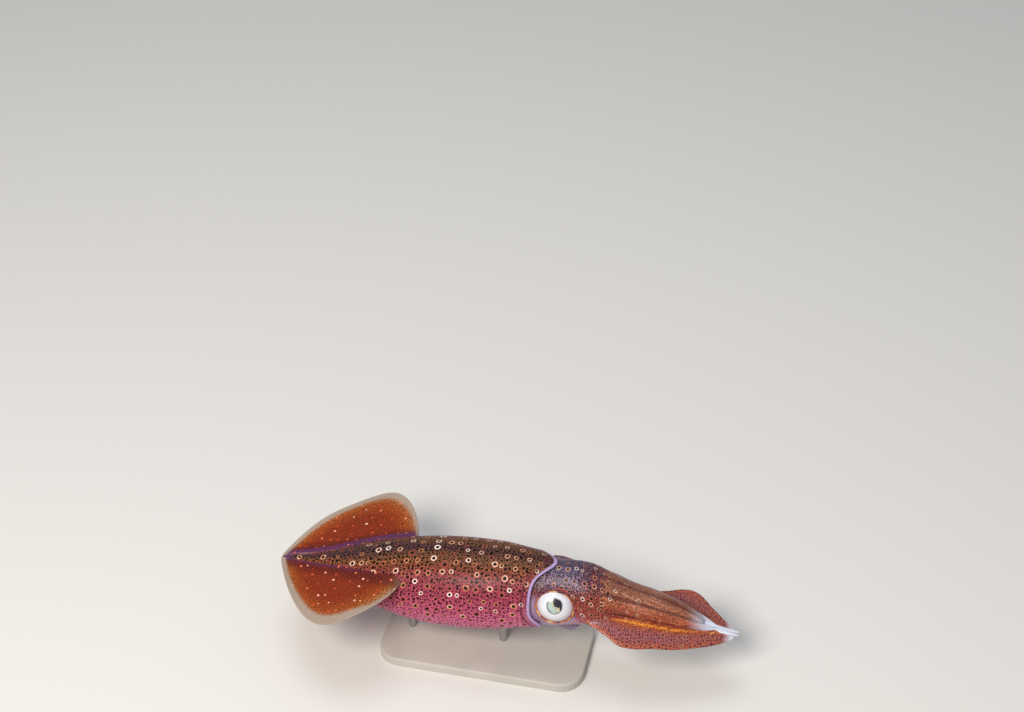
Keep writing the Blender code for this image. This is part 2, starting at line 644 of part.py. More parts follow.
def build():
    """Every solid in order: mantle, head, eyes and funnel, then fins and arms, then the stand."""
    for old in list(bpy.data.objects):
        bpy.data.objects.remove(old)
    finish = {name: material(name, *look) for name, look in FINISHES.items()}

    mantle = mantle_solid("mantle", finish["skin"])
    head = head_solid("head", finish["skin"])
    boolean(head, "UNION", [orbit(side) for side in SIDES])
    for side in SIDES:
        eye_solid(side, f"eye_{side}", finish["eye_white"])
        boolean(head, "DIFFERENCE", [eye_solid(side, "socket", None, GAP)])
    funnel_solid("funnel", finish["pale_flesh"])
    boolean(head, "DIFFERENCE", [funnel_solid("funnel_room", None, GAP, hollow=False)])
    neck_room = head_solid("neck_room", None, GAP)
    boolean(mantle, "DIFFERENCE", [neck_room, funnel_solid("funnel_room", None, GAP, hollow=False)])

    for side in SIDES:
        fin = fin_solid(side, finish["fin_skin"])
        boolean(fin, "DIFFERENCE", [mantle_solid("mantle_room", None, GAP)])
        for arm in ARMS:
            made = arm_solid(arm, side, finish["arm_skin"])
            boolean(made, "UNION", arm_suckers(arm, side))
            boolean(made, "DIFFERENCE", [head_solid("head_room", None, GAP)])
        stalk, club = tentacle_solids(side, finish["pale_flesh"])
        boolean(stalk, "DIFFERENCE", [head_solid("head_room", None, GAP)])
        boolean(club, "UNION", club_suckers(side))

    base(finish["stand_board"])
    for name, place in ROD_PLACES.items():
        made = rod(name, place, finish["stand_steel"])
        boolean(made, "DIFFERENCE", [mantle_solid("mantle_room", None, GAP)])


build()
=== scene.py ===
"""The looks of a life-size market squid on its display stand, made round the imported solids."""
import math

import bpy
import numpy as np
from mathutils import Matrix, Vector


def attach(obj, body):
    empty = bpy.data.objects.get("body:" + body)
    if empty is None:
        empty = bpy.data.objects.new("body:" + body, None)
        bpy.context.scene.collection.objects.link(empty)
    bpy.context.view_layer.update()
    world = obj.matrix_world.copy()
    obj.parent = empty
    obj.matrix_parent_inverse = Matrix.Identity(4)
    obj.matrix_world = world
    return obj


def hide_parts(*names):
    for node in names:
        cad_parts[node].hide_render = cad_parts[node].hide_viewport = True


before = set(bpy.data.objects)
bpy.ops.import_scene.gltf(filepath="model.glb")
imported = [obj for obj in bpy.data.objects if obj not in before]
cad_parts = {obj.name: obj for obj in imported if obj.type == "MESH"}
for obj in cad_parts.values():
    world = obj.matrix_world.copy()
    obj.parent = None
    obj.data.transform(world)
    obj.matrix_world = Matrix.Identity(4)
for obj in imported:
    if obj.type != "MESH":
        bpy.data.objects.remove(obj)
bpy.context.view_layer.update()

# Camera. A short telephoto lens looks down on the squid's right side from a little ahead of its middle, and
# the squid lies low in the frame, as in the photograph.
CAMERA_PLACE = (0.17062, -0.74562, 0.75870)
CAMERA_AZIMUTH = math.radians(12.6515)
CAMERA_ELEVATION = math.radians(36.479)
CAMERA_LENS = 70


def placed(name, data):
    """A new object of that name, which holds the data and is linked into the scene."""
    made = bpy.data.objects.new(name, data)
    bpy.context.scene.collection.objects.link(made)
    return made


camera = placed("camera", bpy.data.cameras.new("camera"))
camera.data.lens = CAMERA_LENS
camera.location = CAMERA_PLACE
camera.rotation_euler = (math.pi / 2 - CAMERA_ELEVATION, 0, CAMERA_AZIMUTH)
bpy.context.scene.camera = camera
bpy.context.scene.view_settings.view_transform = "Standard"


# Studio. A plain pale sheet of matt paper carries the stand. The main softbox hangs above the camera's left,
# a weaker one overhead, and a pale room fills the shadows.
FLOOR_SIZE = 8.0
PAPER_COLOUR = "#d6d4cf"
ROOM_COLOUR = "#e6eaf0"
ROOM_STRENGTH = 0.5
SOFTBOXES = {
    "main": {"place": (-0.25, -0.95, 1.05), "size": 0.55, "power": 19.0, "colour": "#fff8f0"},
    "overhead": {"place": (-0.20, 0.15, 1.25), "size": 0.7, "power": 4.0, "colour": "#f2f5ff"},
}
AIM = (0.0, 0.0, 0.045)


def linear(colour):
    """Linear red, green, blue and alpha of an sRGB hex colour: each channel goes through the sRGB curve."""
    channels = [int(colour[k:k + 2], 16) / 255 for k in (1, 3, 5)]
    return (*[c / 12.92 if c <= 0.04045 else ((c + 0.055) / 1.055) ** 2.4 for c in channels], 1.0)


def fill(tree, socket, value):
    """Gives a socket a value, the linear values of a hex colour, or another node's output."""
    if isinstance(value, bpy.types.NodeSocket):
        tree.links.new(value, socket)
    else:
        socket.default_value = linear(value) if isinstance(value, str) else value


def node(tree, kind, values=(), stops=(), output=None, **settings):
    """Adds a shader node and returns its named output, or else the first in use. values fill its sockets, by
    their names or in the order of those in use: a MapRange takes a value, the span it comes from and the
    span it goes to. stops are a ramp's positions with their colours, and settings are the node's own."""
    made = tree.nodes.new("ShaderNode" + kind)
    for name, value in settings.items():
        setattr(made, name, value)
    for k, (position, colour) in enumerate(stops):
        stop = made.color_ramp.elements[k] if k < 2 else made.color_ramp.elements.new(position)
        stop.position = position
        stop.color = linear(colour)
    used = [socket for socket in made.inputs if socket.enabled]
    if isinstance(values, dict):
        used = [next(socket for socket in used if socket.name == name) for name in values]
        values = values.values()
    for socket, value in zip(used, values):
        fill(tree, socket, value)
    return made.outputs[output] if output else next(socket for socket in made.outputs if socket.enabled)


def shade(tree, **values):
    """Fills the sockets of those names on the material's own shader."""
    for name, value in values.items():
        fill(tree, tree.nodes["Principled BSDF"].inputs[name.replace("_", " ")], value)


def new_finish(name, **values):
    """A new material and its node tree, with those values in its shader's own sockets."""
    made = bpy.data.materials.new(name)
    made.use_nodes = True
    shade(made.node_tree, **values)
    return made, made.node_tree


# Matt background paper: even and slightly toothed, so that it gives no gloss.
paper, _ = new_finish("matt_background_paper", Base_Color=PAPER_COLOUR, Roughness=0.9, Specular_IOR_Level=0.2)
half = FLOOR_SIZE / 2
mesh = bpy.data.meshes.new("floor")
mesh.from_pydata([(-half, -half, 0), (half, -half, 0), (half, half, 0), (-half, half, 0)], [], [(0, 1, 2, 3)])
mesh.materials.append(paper)
floor = placed("floor", mesh)

world = bpy.data.worlds.new("pale_room")
world.use_nodes = True
room = world.node_tree.nodes["Background"].inputs
room["Color"].default_value = linear(ROOM_COLOUR)
room["Strength"].default_value = ROOM_STRENGTH
bpy.context.scene.world = world

for name, box in SOFTBOXES.items():
    lamp = placed(name, bpy.data.lights.new(name, "AREA"))
    lamp.data.shape = "DISK"
    lamp.data.size = box["size"]
    lamp.data.energy = box["power"]
    lamp.data.color = linear(box["colour"])[:3]
    lamp.location = box["place"]
    lamp.rotation_euler = (Vector(AIM) - Vector(box["place"])).to_track_quat("-Z", "Y").to_euler()


# Mantle. The muscular tube of the body, from the pointed tail to the open collar round the neck. The grid
# runs up the outside, over the thin lip and back down inside, and closes within the neck.
TOTAL_LENGTH = 0.247
TAIL_X = -TOTAL_LENGTH / 2
TAIL_HEIGHT = 0.039
AXIS_RISE = [(0, 0), (0.040, 0.0002), (0.072, 0.0012), (0.104, 0.0035), (0.140, 0.0068), (0.165, 0.0078),
             (0.190, 0.0052), (0.215, 0.0010), (0.246, -0.0046)]
MANTLE_LENGTH = 0.150
MANTLE_RADIUS = 0.0240
MANTLE_DEPTH_SHARE = 0.98
MANTLE_SHAPE = [(0, 0.05), (0.010, 0.13), (0.025, 0.29), (0.040, 0.52), (0.055, 0.73), (0.072, 0.90),
                (0.088, 0.98), (0.102, 1.0), (0.118, 0.97), (0.132, 0.88), (0.142, 0.82), (0.150, 0.80)]
RIM_SETBACK = 0.0105
RIM_POINT_FORWARD = 0.0055
RIM_DORSAL_SPREAD = math.radians(26)
RIM_LOWER_ANGLE = math.radians(128)
RIM_LOWER_SPREAD = math.radians(24)
RIM_CARRY_FROM = 0.6
RIM_CARRY_POWER = 1.5
TAIL_CROWDING = 0.25
TAIL_START = 0.0002
TAIL_ROUNDING = 0.0022
LIP_THICKNESS = 0.0011
LIP_STEPS = 8
COLLAR_DEPTH = 0.012
COLLAR_SPEED = 1.3
WALL_GAIN = 0.5
NECK_SHARE = 0.23
NECK_LEAST = 0.02
MM = 1000.0


def smooth(table, at):
    """Values on a smooth curve through (place, value) pairs: a cubic between each two, whose slope at a pair
    is the weighted harmonic mean of the slopes on both sides, or level where they differ in sign."""
    xs, ys = np.array(table, float).T
    steps = np.diff(xs)
    slopes = np.diff(ys) / steps
    turns = np.zeros(len(xs))
    same_way = slopes[1:] * slopes[:-1] > 0
    weight_a = 2 * steps[1:] + steps[:-1]
    weight_b = steps[1:] + 2 * steps[:-1]
    with np.errstate(divide="ignore", invalid="ignore"):
        mean = (weight_a + weight_b) / (weight_a / slopes[:-1] + weight_b / slopes[1:])
    turns[1:-1] = np.where(same_way, mean, 0)
    turns[0], turns[-1] = slopes[0], slopes[-1]
    at = np.clip(np.asarray(at, float), xs[0], xs[-1])
    k = np.clip(np.searchsorted(xs, at, side="right") - 1, 0, len(xs) - 2)
    share = (at - xs[k]) / steps[k]
    rise = share * share * (3 - 2 * share)
    bend_a = share * (1 - share) ** 2
    bend_b = -share * share * (1 - share)
    return ys[k] + rise * (ys[k + 1] - ys[k]) + steps[k] * (bend_a * turns[k] + bend_b * turns[k + 1])


def axis_height(s):
    """Height of the body's axis at the place s from the tail: the tail's height plus the smooth rise."""
    return TAIL_HEIGHT + smooth(AXIS_RISE, s)


def mantle_radius(s):
    """The mantle's half width at the place s from the tail."""
    return MANTLE_RADIUS * smooth(MANTLE_SHAPE, s)


def turned_up(points):
    """One for a point straight above the body's axis and zero straight below: one less its angle over a half
    turn."""
    above = points[..., 2] - axis_height(points[..., 0] - TAIL_X)
    return 1 - np.arctan2(np.abs(points[..., 1]), above) / math.pi


def rounded_off(distance, radius, bluntness=0.0):
    """The share of the full thickness at a distance from an end or edge: within the radius it rises as a
    quarter circle from the bluntness's square root."""
    return np.sqrt(np.clip(1 - (1 - np.clip(distance / radius, 0, 1)) ** 2, bluntness, 1))


def path_length(*coordinates):
    """The length so far along a line through places whose coordinates are given."""
    return np.concatenate([[0], np.cumsum(np.hypot(*[np.diff(values) for values in coordinates]))])


def closed_tube(name, points, chart, **marks):
    """A closed surface from a grid of points, whose last column repeats the first: each row joins the next,
    and a fan to its middle closes each end row. The faces face out when the volume that they enclose, the
    sum of the corners' triple products, is above zero. chart becomes the UV map of the pattern, marks become
    attributes."""
    points = points[:, :-1]
    rows, columns, _ = points.shape
    i, j = np.divmod(np.arange((rows - 1) * columns), columns)
    row, column = np.stack([i, i + 1, i + 1, i], -1), np.stack([j, j, j + 1, j + 1], -1)
    quads, quad_chart = row * columns + column % columns, chart[row, column]
    j = np.arange(columns)
    fans, fan_chart = [], []
    for pole, end, a, b in ((rows * columns, 0, j, j + 1), (rows * columns + 1, rows - 1, j + 1, j)):
        fans.append(np.stack([0 * j + pole, end * columns + a % columns, end * columns + b % columns], -1))
        fan_chart.append(np.stack([(chart[end, a] + chart[end, b]) / 2, chart[end, a], chart[end, b]], 1))
    fans, fan_chart = np.vstack(fans), np.vstack(fan_chart)
    flat = np.vstack([points.reshape(-1, 3), points[0].mean(0), points[-1].mean(0)])
    a, b, c = flat[np.vstack([quads[:, :3], quads[:, [0, 2, 3]], fans])].transpose(1, 0, 2)
    if np.einsum("ij,ij->i", a, np.cross(b, c)).sum() < 0:
        quads, fans, quad_chart, fan_chart = (grid[:, ::-1] for grid in (quads, fans, quad_chart, fan_chart))
    mesh = bpy.data.meshes.new(name)
    mesh.from_pydata(flat, [], quads.tolist() + fans.tolist())
    corner_chart = np.concatenate([quad_chart.ravel(), fan_chart.ravel()]).astype(np.float32)
    mesh.uv_layers.new(name="chart").data.foreach_set("uv", corner_chart)
    corners = np.concatenate([quads.ravel(), fans.ravel()])
    for mark, values in marks.items():
        values = np.broadcast_to(values, (rows, columns + 1))[:, :-1]
        values = np.append(values, [values[0].mean(), values[-1].mean()]).astype(np.float32)
        mesh.attributes.new(mark, "FLOAT", "CORNER").data.foreach_set("value", values[corners])
    mesh.shade_smooth()
    return placed(name, mesh)


def mantle_tube(rows=190, columns=150, inside_rows=26):
    """The mantle: r times (sine, cosine) of the angle from the back, about the axis. Outside, r follows the
    table and is rounded off at the tail. At the lip it turns in by half a circle. Inside, the wall gets half
    as thick again, and r closes at the neck. The collar's points, a bell over the back and one low on each
    side, carry all of it forward, more towards the front."""
    end = MANTLE_LENGTH - RIM_SETBACK
    share = np.linspace(0, 1, rows - inside_rows)
    outside = end * ((1 - TAIL_CROWDING) * share + TAIL_CROWDING * share**2) + TAIL_START * (1 - share)
    outer_radius = mantle_radius(outside) * rounded_off(outside, TAIL_ROUNDING)
    turn = np.linspace(0, math.pi, LIP_STEPS + 1)[1:]
    lip = end + LIP_THICKNESS / 2 * np.sin(turn)
    lip_radius = outer_radius[-1] - LIP_THICKNESS / 2 * (1 - np.cos(turn))
    back = np.linspace(0, 1, inside_rows - LIP_STEPS + 1)[1:]
    inside = end - COLLAR_DEPTH * np.minimum(back * COLLAR_SPEED, 1)
    wall = LIP_THICKNESS * (1 + WALL_GAIN * back)
    inner_radius = (mantle_radius(inside) - wall) * np.clip((1 - back) / NECK_SHARE, NECK_LEAST, 1) ** 0.5
    s = np.concatenate([outside, lip, inside])
    radius = np.concatenate([outer_radius, lip_radius, inner_radius])
    run = path_length(s, radius)
    from_lip = np.abs(run - run[len(outside) + LIP_STEPS // 2])[:, None] * MM
    s, radius, run = s[:, None], radius[:, None], run[:, None]
    angle = np.linspace(-math.pi, math.pi, columns + 1)[None, :]
    dorsal = RIM_SETBACK * np.exp(-(angle / RIM_DORSAL_SPREAD) ** 2)
    lower = RIM_POINT_FORWARD * np.exp(-((np.abs(angle) - RIM_LOWER_ANGLE) / RIM_LOWER_SPREAD) ** 2)
    carried = np.clip((s - RIM_CARRY_FROM * end) / ((1 - RIM_CARRY_FROM) * end), 0, None) ** RIM_CARRY_POWER
    forward = (dorsal + lower) * carried
    points = np.stack([TAIL_X + s + forward, radius * np.sin(angle),
                       axis_height(s + forward) + radius * MANTLE_DEPTH_SHARE * np.cos(angle)], -1)
    chart = MM * np.stack([run + forward, mantle_radius(s) * angle], -1)
    return closed_tube("mantle_flesh", points, chart, back=turned_up(points), edge=from_lip, run=MM * s,
                       inner=0.0)


flesh = {"mantle": mantle_tube()}


# Fins. A rounded pair that makes one broad arrowhead on the rear half of the body. Each is a sheet of
# muscle, thick where it grows out of the mantle's back and thinned to a clear, rippled edge.
FIN_LENGTH = 0.0725
FIN_HALF_SPAN = 0.0495
FIN_WIDEST = {"left": 0.0465, "right": 0.0425}
FIN_TAIL = (0.0005, 0.0010)
FIN_FRONT_OUT = 0.0165
FIN_TAIL_HANDLE = (0.0085, 0.0210)
FIN_REAR_HANDLE = (-0.0190, 0)
FIN_FORE_HANDLE = (0.0140, 0)
FIN_FRONT_HANDLE = (-0.0040, 0.0170)
FIN_ROOT_FROM = 0.0005
FIN_ROOT_SHORTER = 0.001
FIN_ROOT_DEPTH = 0.8
FIN_ROOT_ANGLE = math.radians(56)
FIN_ROOT_THICKNESS = 0.0030
FIN_EDGE_THICKNESS = 0.0007
FIN_EDGE_ROUNDING = 0.0006
FIN_EDGE_CROWDING = 1.4
FIN_THINNING = 0.7
FIN_ROOT_FLARE = 0.0016
FIN_FLARE_WIDTH = 0.0022
FIN_FLARE_FULL_FROM = 0.008
FIN_BLEND = 0.0085
FIN_DROOP = {"left": -0.0045, "right": 0.0005}
FIN_RIPPLE = 0.0016
FIN_HALF_WAVES = 3.2
SIDES = {"left": 1, "right": -1}


def bezier(a, b, c, d, t):
    """Points on a cubic curve from a to d that leaves towards b and arrives from c."""
    t = t[:, None]
    return (1 - t) ** 3 * a + 3 * t * (1 - t) ** 2 * b + 3 * t * t * (1 - t) * c + t**3 * d


def fin_margin(side, count):
    """The fin's outer edge from above, as place along the body and distance from the midline: two cubic
    curves that meet at the widest point."""
    tail = np.array(FIN_TAIL)
    widest = np.array([FIN_WIDEST[side], FIN_HALF_SPAN])
    front = np.array([FIN_LENGTH, FIN_FRONT_OUT])
    rear_share = np.linspace(0, 1, count // 2 + 1)
    front_share = np.linspace(0, 1, count - count // 2)
    rear_half = bezier(tail, tail + FIN_TAIL_HANDLE, widest + FIN_REAR_HANDLE, widest, rear_share)
    front_half = bezier(widest, widest + FIN_FORE_HANDLE, front + FIN_FRONT_HANDLE, front, front_share)
    return np.vstack([rear_half[:-1], front_half])


def fin_tube(side, rows=110, half_columns=42):
    """One fin as a flattened tube: on each row the section runs from the root out along the top, round the
    edge and back below. Its middle is straight from root to edge, plus a ripple that grows as the square of
    the way out, and its thickness falls with a power of the way out, swells at the root and closes as an
    ellipse at the edge."""
    margin = fin_margin(side, rows)
    margin_s, margin_y = margin[:, :1], margin[:, 1:]
    root_s = np.linspace(FIN_ROOT_FROM, FIN_LENGTH - FIN_ROOT_SHORTER, rows)[:, None]
    root_radius = mantle_radius(root_s)
    root_y = root_radius * math.sin(FIN_ROOT_ANGLE) * FIN_ROOT_DEPTH
    out = 1 - (1 - np.linspace(0, 1, half_columns)) ** FIN_EDGE_CROWDING
    share = np.concatenate([out, out[-2::-1]])[None, :]
    face = np.concatenate([np.ones(half_columns), -np.ones(half_columns - 1)])[None, :]
    s = root_s * (1 - share) + margin_s * share
    y = root_y * (1 - share) + margin_y * share
    root_z = axis_height(root_s) + root_radius * math.cos(FIN_ROOT_ANGLE)
    edge_z = axis_height(margin_s) + mantle_radius(margin_s) * math.cos(FIN_ROOT_ANGLE)
    edge_z = edge_z - FIN_DROOP[side] * np.sin(np.pi * np.clip(margin_s / FIN_LENGTH, 0, 1))
    ripple = FIN_RIPPLE * np.sin(margin_s / FIN_LENGTH * FIN_HALF_WAVES * math.pi) * share**2
    z = root_z * (1 - share) + edge_z * share + ripple
    thick = FIN_ROOT_THICKNESS + (FIN_EDGE_THICKNESS - FIN_ROOT_THICKNESS) * share**FIN_THINNING
    beyond = np.clip(y - root_radius * math.sin(FIN_ROOT_ANGLE), 0, None)
    flare = FIN_ROOT_FLARE * np.exp(-(beyond / FIN_FLARE_WIDTH) ** 2)
    thick = thick + flare * np.minimum(root_radius / FIN_FLARE_FULL_FROM, 1)
    from_edge = np.hypot(margin_s - root_s, margin_y - root_y) * (1 - share)
    thick = thick * rounded_off(from_edge, FIN_EDGE_ROUNDING)
    y = SIDES[side] * y
    points = np.stack([TAIL_X + s, y, z + face * thick / 2], -1)
    return closed_tube(f"fin_{side}_flesh", points, MM * np.stack([s, y], -1), back=0.5 + 0.5 * face,
                       edge=MM * from_edge, run=MM * s, inner=np.exp(-(beyond / FIN_BLEND) ** 2))


for side in SIDES:
    flesh[f"fin_{side}"] = fin_tube(side)


# Head. A barrel from inside the collar that narrows into the root of the arms, with a swelling at each side
# that holds the eye. The swelling rises to a thin lid, which lies close round the eyeball.
HEAD_START = 0.122
HEAD_WIDTH = [(0.122, 0.0180), (0.128, 0.0182), (0.139, 0.0178), (0.144, 0.0164), (0.151, 0.0142),
              (0.158, 0.0140), (0.164, 0.0150), (0.169, 0.0154), (0.1735, 0.0148), (0.179, 0.0134),
              (0.186, 0.0117), (0.194, 0.0097), (0.202, 0.0070), (0.206, 0.0040)]
HEAD_HEIGHT = [(0.122, 0.0172), (0.128, 0.0174), (0.138, 0.0178), (0.150, 0.0194), (0.158, 0.0190),
               (0.165, 0.0172), (0.170, 0.0157), (0.1735, 0.0147), (0.179, 0.0134), (0.186, 0.0117),
               (0.194, 0.0097), (0.202, 0.0070), (0.206, 0.0040)]
HEAD_LIFT = [(0.122, -0.0004), (0.128, -0.0004), (0.148, -0.0014), (0.158, -0.0002), (0.168, 0.0006),
             (0.1765, 0.0002), (0.206, 0.0)]
EYE_AT = 0.1522
EYE_OFFSET = 0.0120
EYE_LIFT = 0.0018
EYE_LENGTH_RADIUS = 0.0101
EYE_SIDE_RADIUS = 0.0080
EYE_TURN_UP = math.radians(16)
EYE_TURN_FORWARD = math.radians(8)
EYE_STRETCH = 1.06
EYE_TILT = math.radians(18)
ORBIT = [(-0.0070, 0.0060), (-0.0050, 0.0104), (-0.0020, 0.0123), (0.0008, 0.0121), (0.0023, 0.0112),
         (0.0031, 0.0105), (0.0037, 0.0101), (0.0041, 0.0097), (0.0042, 0.0093), (0.0039, 0.0089),
         (0.0030, 0.0086), (0.0012, 0.0085)]
ORBIT_LEAN = 0.0040
LID_CREST = 8
FAR_FROM_EDGE = 30.0


def head_chart(points):
    """The pattern's place on the head: along the body, and round it as the head's half height times the
    angle."""
    s = points[..., 0] - TAIL_X
    angle = (1 - turned_up(points)) * math.pi * np.where(points[..., 1] < 0, -1, 1)
    return MM * np.stack([s, smooth(HEAD_HEIGHT, s) * angle], -1)


def eye_rings(side, out, radius, columns, lean=0.0):
    """Rings about an eye's axis, one for each distance out and radius: ellipses stretched along the eye's
    long way, tilted in their own plane, then turned up and forward and carried to the eye's centre. The flat
    places of the points in the eye's own plane come with them."""
    angle = np.linspace(0, 2 * math.pi, columns + 1)[None, :]
    out, radius = out[:, None], radius[:, None]
    long_way = radius * EYE_STRETCH * np.cos(angle)
    short_way = radius / EYE_STRETCH * np.sin(angle)
    x = long_way * math.cos(EYE_TILT) + short_way * math.sin(EYE_TILT)
    z = short_way * math.cos(EYE_TILT) - long_way * math.sin(EYE_TILT)
    leaned = x + lean * (out.max() - out) / np.ptp(out)
    rings = np.stack([leaned, SIDES[side] * (out + 0 * angle), z], -1)
    sine, cosine = math.sin(EYE_TURN_UP * SIDES[side]), math.cos(EYE_TURN_UP)
    about_x = np.array([[1, 0, 0], [0, cosine, -sine], [0, sine, cosine]])
    sine, cosine = math.sin(-EYE_TURN_FORWARD * SIDES[side]), math.cos(EYE_TURN_FORWARD)
    about_z = np.array([[cosine, -sine, 0], [sine, cosine, 0], [0, 0, 1]])
    centre = np.array((TAIL_X + EYE_AT, SIDES[side] * EYE_OFFSET, float(axis_height(EYE_AT)) + EYE_LIFT))
    return rings @ about_x.T @ about_z.T + centre, np.stack([x, z], -1)


def barrel_tube(rows=120, columns=130):
    """The head's barrel: half width times the sine and half height times the cosine of the angle from the
    back."""
    s = np.linspace(HEAD_START, HEAD_WIDTH[-1][0], rows)[:, None]
    angle = np.linspace(-math.pi, math.pi, columns + 1)[None, :]
    middle = axis_height(s) + smooth(HEAD_LIFT, s)
    points = np.stack([TAIL_X + s + 0 * angle, smooth(HEAD_WIDTH, s) * np.sin(angle),
                       middle + smooth(HEAD_HEIGHT, s) * np.cos(angle)], -1)
    chart = head_chart(points)
    chart[:, 0, 1] = -np.abs(chart[:, 0, 1])
    return closed_tube("head_flesh", points, chart, back=turned_up(points), edge=FAR_FROM_EDGE, run=MM * s,
                       inner=0.0)


def orbit_tube(side, rows=64, columns=132):
    """The swelling round an eye: rings about the eye's axis, whose distance out and radius follow a smooth
    curve through the profile, out to the lid's crest and in behind the eyeball."""
    place = np.linspace(0, len(ORBIT) - 1, rows)
    out, radius = (smooth([(k, pair[each]) for k, pair in enumerate(ORBIT)], place) for each in (0, 1))
    points, _ = eye_rings(side, out, radius, columns, ORBIT_LEAN)
    run = path_length(out, radius)
    from_crest = np.abs(run - np.interp(LID_CREST, place, run))[:, None] * MM
    return closed_tube(f"orbit_{side}_flesh", points, head_chart(points), back=turned_up(points),
                       edge=from_crest, run=MM * (points[..., 0] - TAIL_X), inner=0.0)


flesh["head"] = barrel_tube()
for side in SIDES:
    flesh[f"orbit_{side}"] = orbit_tube(side)


# Funnel. The nozzle under the head through which the squid jets water: a soft, flattened tube of clear flesh
# that bends down and forward out of the collar, open at its front end.
FUNNEL_START = (0.134, -0.0130)
FUNNEL_END = (0.1610, -0.0222)
FUNNEL_ARCH = 0.0022
FUNNEL_RADII = (0.0072, 0.0046)
FUNNEL_FLATNESS = 0.8
FUNNEL_BORE_DEPTH = 0.010
FUNNEL_BORE_TAPER = 0.1
FUNNEL_LIP = 0.0016
FUNNEL_POUT = 0.20
FUNNEL_POUT_POWER = 8
FUNNEL_WAVES = 0.025
FUNNEL_WAVE_COUNT = 5
FUNNEL_WAVE_POWER = 4
FUNNEL_SIDES_BACK = 0.0010
FUNNEL_SIDES_POWER = 6


def funnel_tube(rows=70, bore_rows=24, columns=72):
    """The funnel: flattened rings along a straight path plus half a sine wave, whose radius falls evenly and
    a little more at the mouth. They turn in over a thick, round lip and run back down the bore. Five low
    waves round the mouth, and its sides set back between the upper and the lower lip, keep it soft."""
    turn = np.linspace(0, math.pi, LIP_STEPS + 1)[1:]
    bore = np.linspace(0, 1, bore_rows + 1)[1:]
    outside = np.linspace(0, 1, rows)
    pout = 1 - FUNNEL_POUT * outside**FUNNEL_POUT_POWER
    radius = (FUNNEL_RADII[0] + (FUNNEL_RADII[1] - FUNNEL_RADII[0]) * outside) * pout
    ahead, drop = np.subtract(FUNNEL_END, FUNNEL_START)
    length = math.hypot(ahead, drop)
    lip = 1 + FUNNEL_LIP / 2 * np.sin(turn) / length
    share = np.concatenate([outside, lip, 1 - FUNNEL_BORE_DEPTH * bore / length])
    radius = np.concatenate([radius, radius[-1] - FUNNEL_LIP / 2 * (1 - np.cos(turn)),
                             (radius[-1] - FUNNEL_LIP) * (1 - FUNNEL_BORE_TAPER * bore)])[:, None]
    s = FUNNEL_START[0] + ahead * share
    down = FUNNEL_START[1] + drop * share + FUNNEL_ARCH * np.sin(math.pi * share)
    slope = np.arctan2(drop + FUNNEL_ARCH * math.pi * np.cos(math.pi * share), ahead)[:, None]
    angle = np.linspace(0, 2 * math.pi, columns + 1)[None, :]
    mouth = np.clip(share, 0, 1)[:, None]
    waved = radius * (1 + FUNNEL_WAVES * np.sin(FUNNEL_WAVE_COUNT * angle + 1) * mouth**FUNNEL_WAVE_POWER)
    lift = waved * FUNNEL_FLATNESS * np.sin(angle)
    forward = -FUNNEL_SIDES_BACK * np.cos(2 * angle) * mouth**FUNNEL_SIDES_POWER
    x = TAIL_X + s[:, None] - np.sin(slope) * lift + np.cos(slope) * forward
    z = float(axis_height(FUNNEL_START[0])) + down[:, None] + np.cos(slope) * lift + np.sin(slope) * forward
    points = np.stack([x, waved * np.cos(angle), z], -1)
    run = path_length(s, down) + np.concatenate([[0], np.cumsum(np.abs(np.diff(radius[:, 0])))])
    from_lip = np.abs(run - run[rows + LIP_STEPS // 2])[:, None] * MM
    chart = MM * np.stack([run[:, None] + 0 * angle, FUNNEL_RADII[0] * angle + 0 * radius], -1)
    return closed_tube("funnel_flesh", points, chart, back=turned_up(points), edge=from_lip,
                       run=MM * s[:, None], inner=0.0)


flesh["funnel"] = funnel_tube()


# Arms. Four on each side close the crown round the mouth into one tight cone, each a wedge of it that is
# wide outside and narrow inside. They are muscle, and the third pair carries a thin swimming keel along its
# outer face.
CROWN_START = 0.162
CROWN_LENGTH = TOTAL_LENGTH - CROWN_START
ARMS = {
    1: {"angle": 19.5, "half_angle": 19.5, "reach": 0.78},
    2: {"angle": 60.0, "half_angle": 21.0, "reach": 0.86},
    3: {"angle": 104.0, "half_angle": 23.0, "reach": 0.97},
    4: {"angle": 153.5, "half_angle": 26.5, "reach": 0.93},
}
KEELED_ARM = 3
ARM_RING_RADIUS = 0.0094
ARM_HALF_DEPTH = 0.0036
ARM_EGG = 0.22
ARM_SQUARENESS = 0.62
ARM_OVERLAP = 0.0004
ARM_SLIMMEST = 0.35
ARM_CHART_STEP = 0.09
SEAM_SHARE = 0.88
CROWN_GATHER = [(0, 0.86), (0.09, 1.06), (0.15, 1.10), (0.21, 1.07), (0.27, 0.98), (0.34, 0.90), (0.45, 0.85),
                (0.56, 0.76), (0.68, 0.62), (0.80, 0.46), (0.92, 0.30), (1.0, 0.22)]
TIP_PINCH = 0.8
TIP_START = 0.6
ARM_TIP = [(0, 1.0), (0.70, 1.0), (0.85, 0.88), (0.95, 0.62), (1.0, 0.16)]
KEEL_SPAN = {
    "left": [(0, 0.0130), (0.15, 0.0155), (0.42, 0.0160), (0.52, 0.0192), (0.60, 0.0230), (0.66, 0.0242),
             (0.71, 0.0228), (0.80, 0.0155), (0.88, 0.0090), (0.95, 0.0038), (1.0, 0.0016)],
    "right": [(0, 0.0135), (0.13, 0.0175), (0.21, 0.0202), (0.32, 0.0238), (0.39, 0.0232), (0.50, 0.0204),
              (0.62, 0.0178), (0.74, 0.0137), (0.86, 0.0088), (0.95, 0.0040), (1.0, 0.0020)],
}
KEEL_EDGE = 0.0006
KEEL_ROOT = 0.0012
KEEL_DROOP = {"left": -0.26, "right": 0.16}
KEEL_LEAST_REACH = 1.1
KEEL_LEAST_EDGE = 0.8
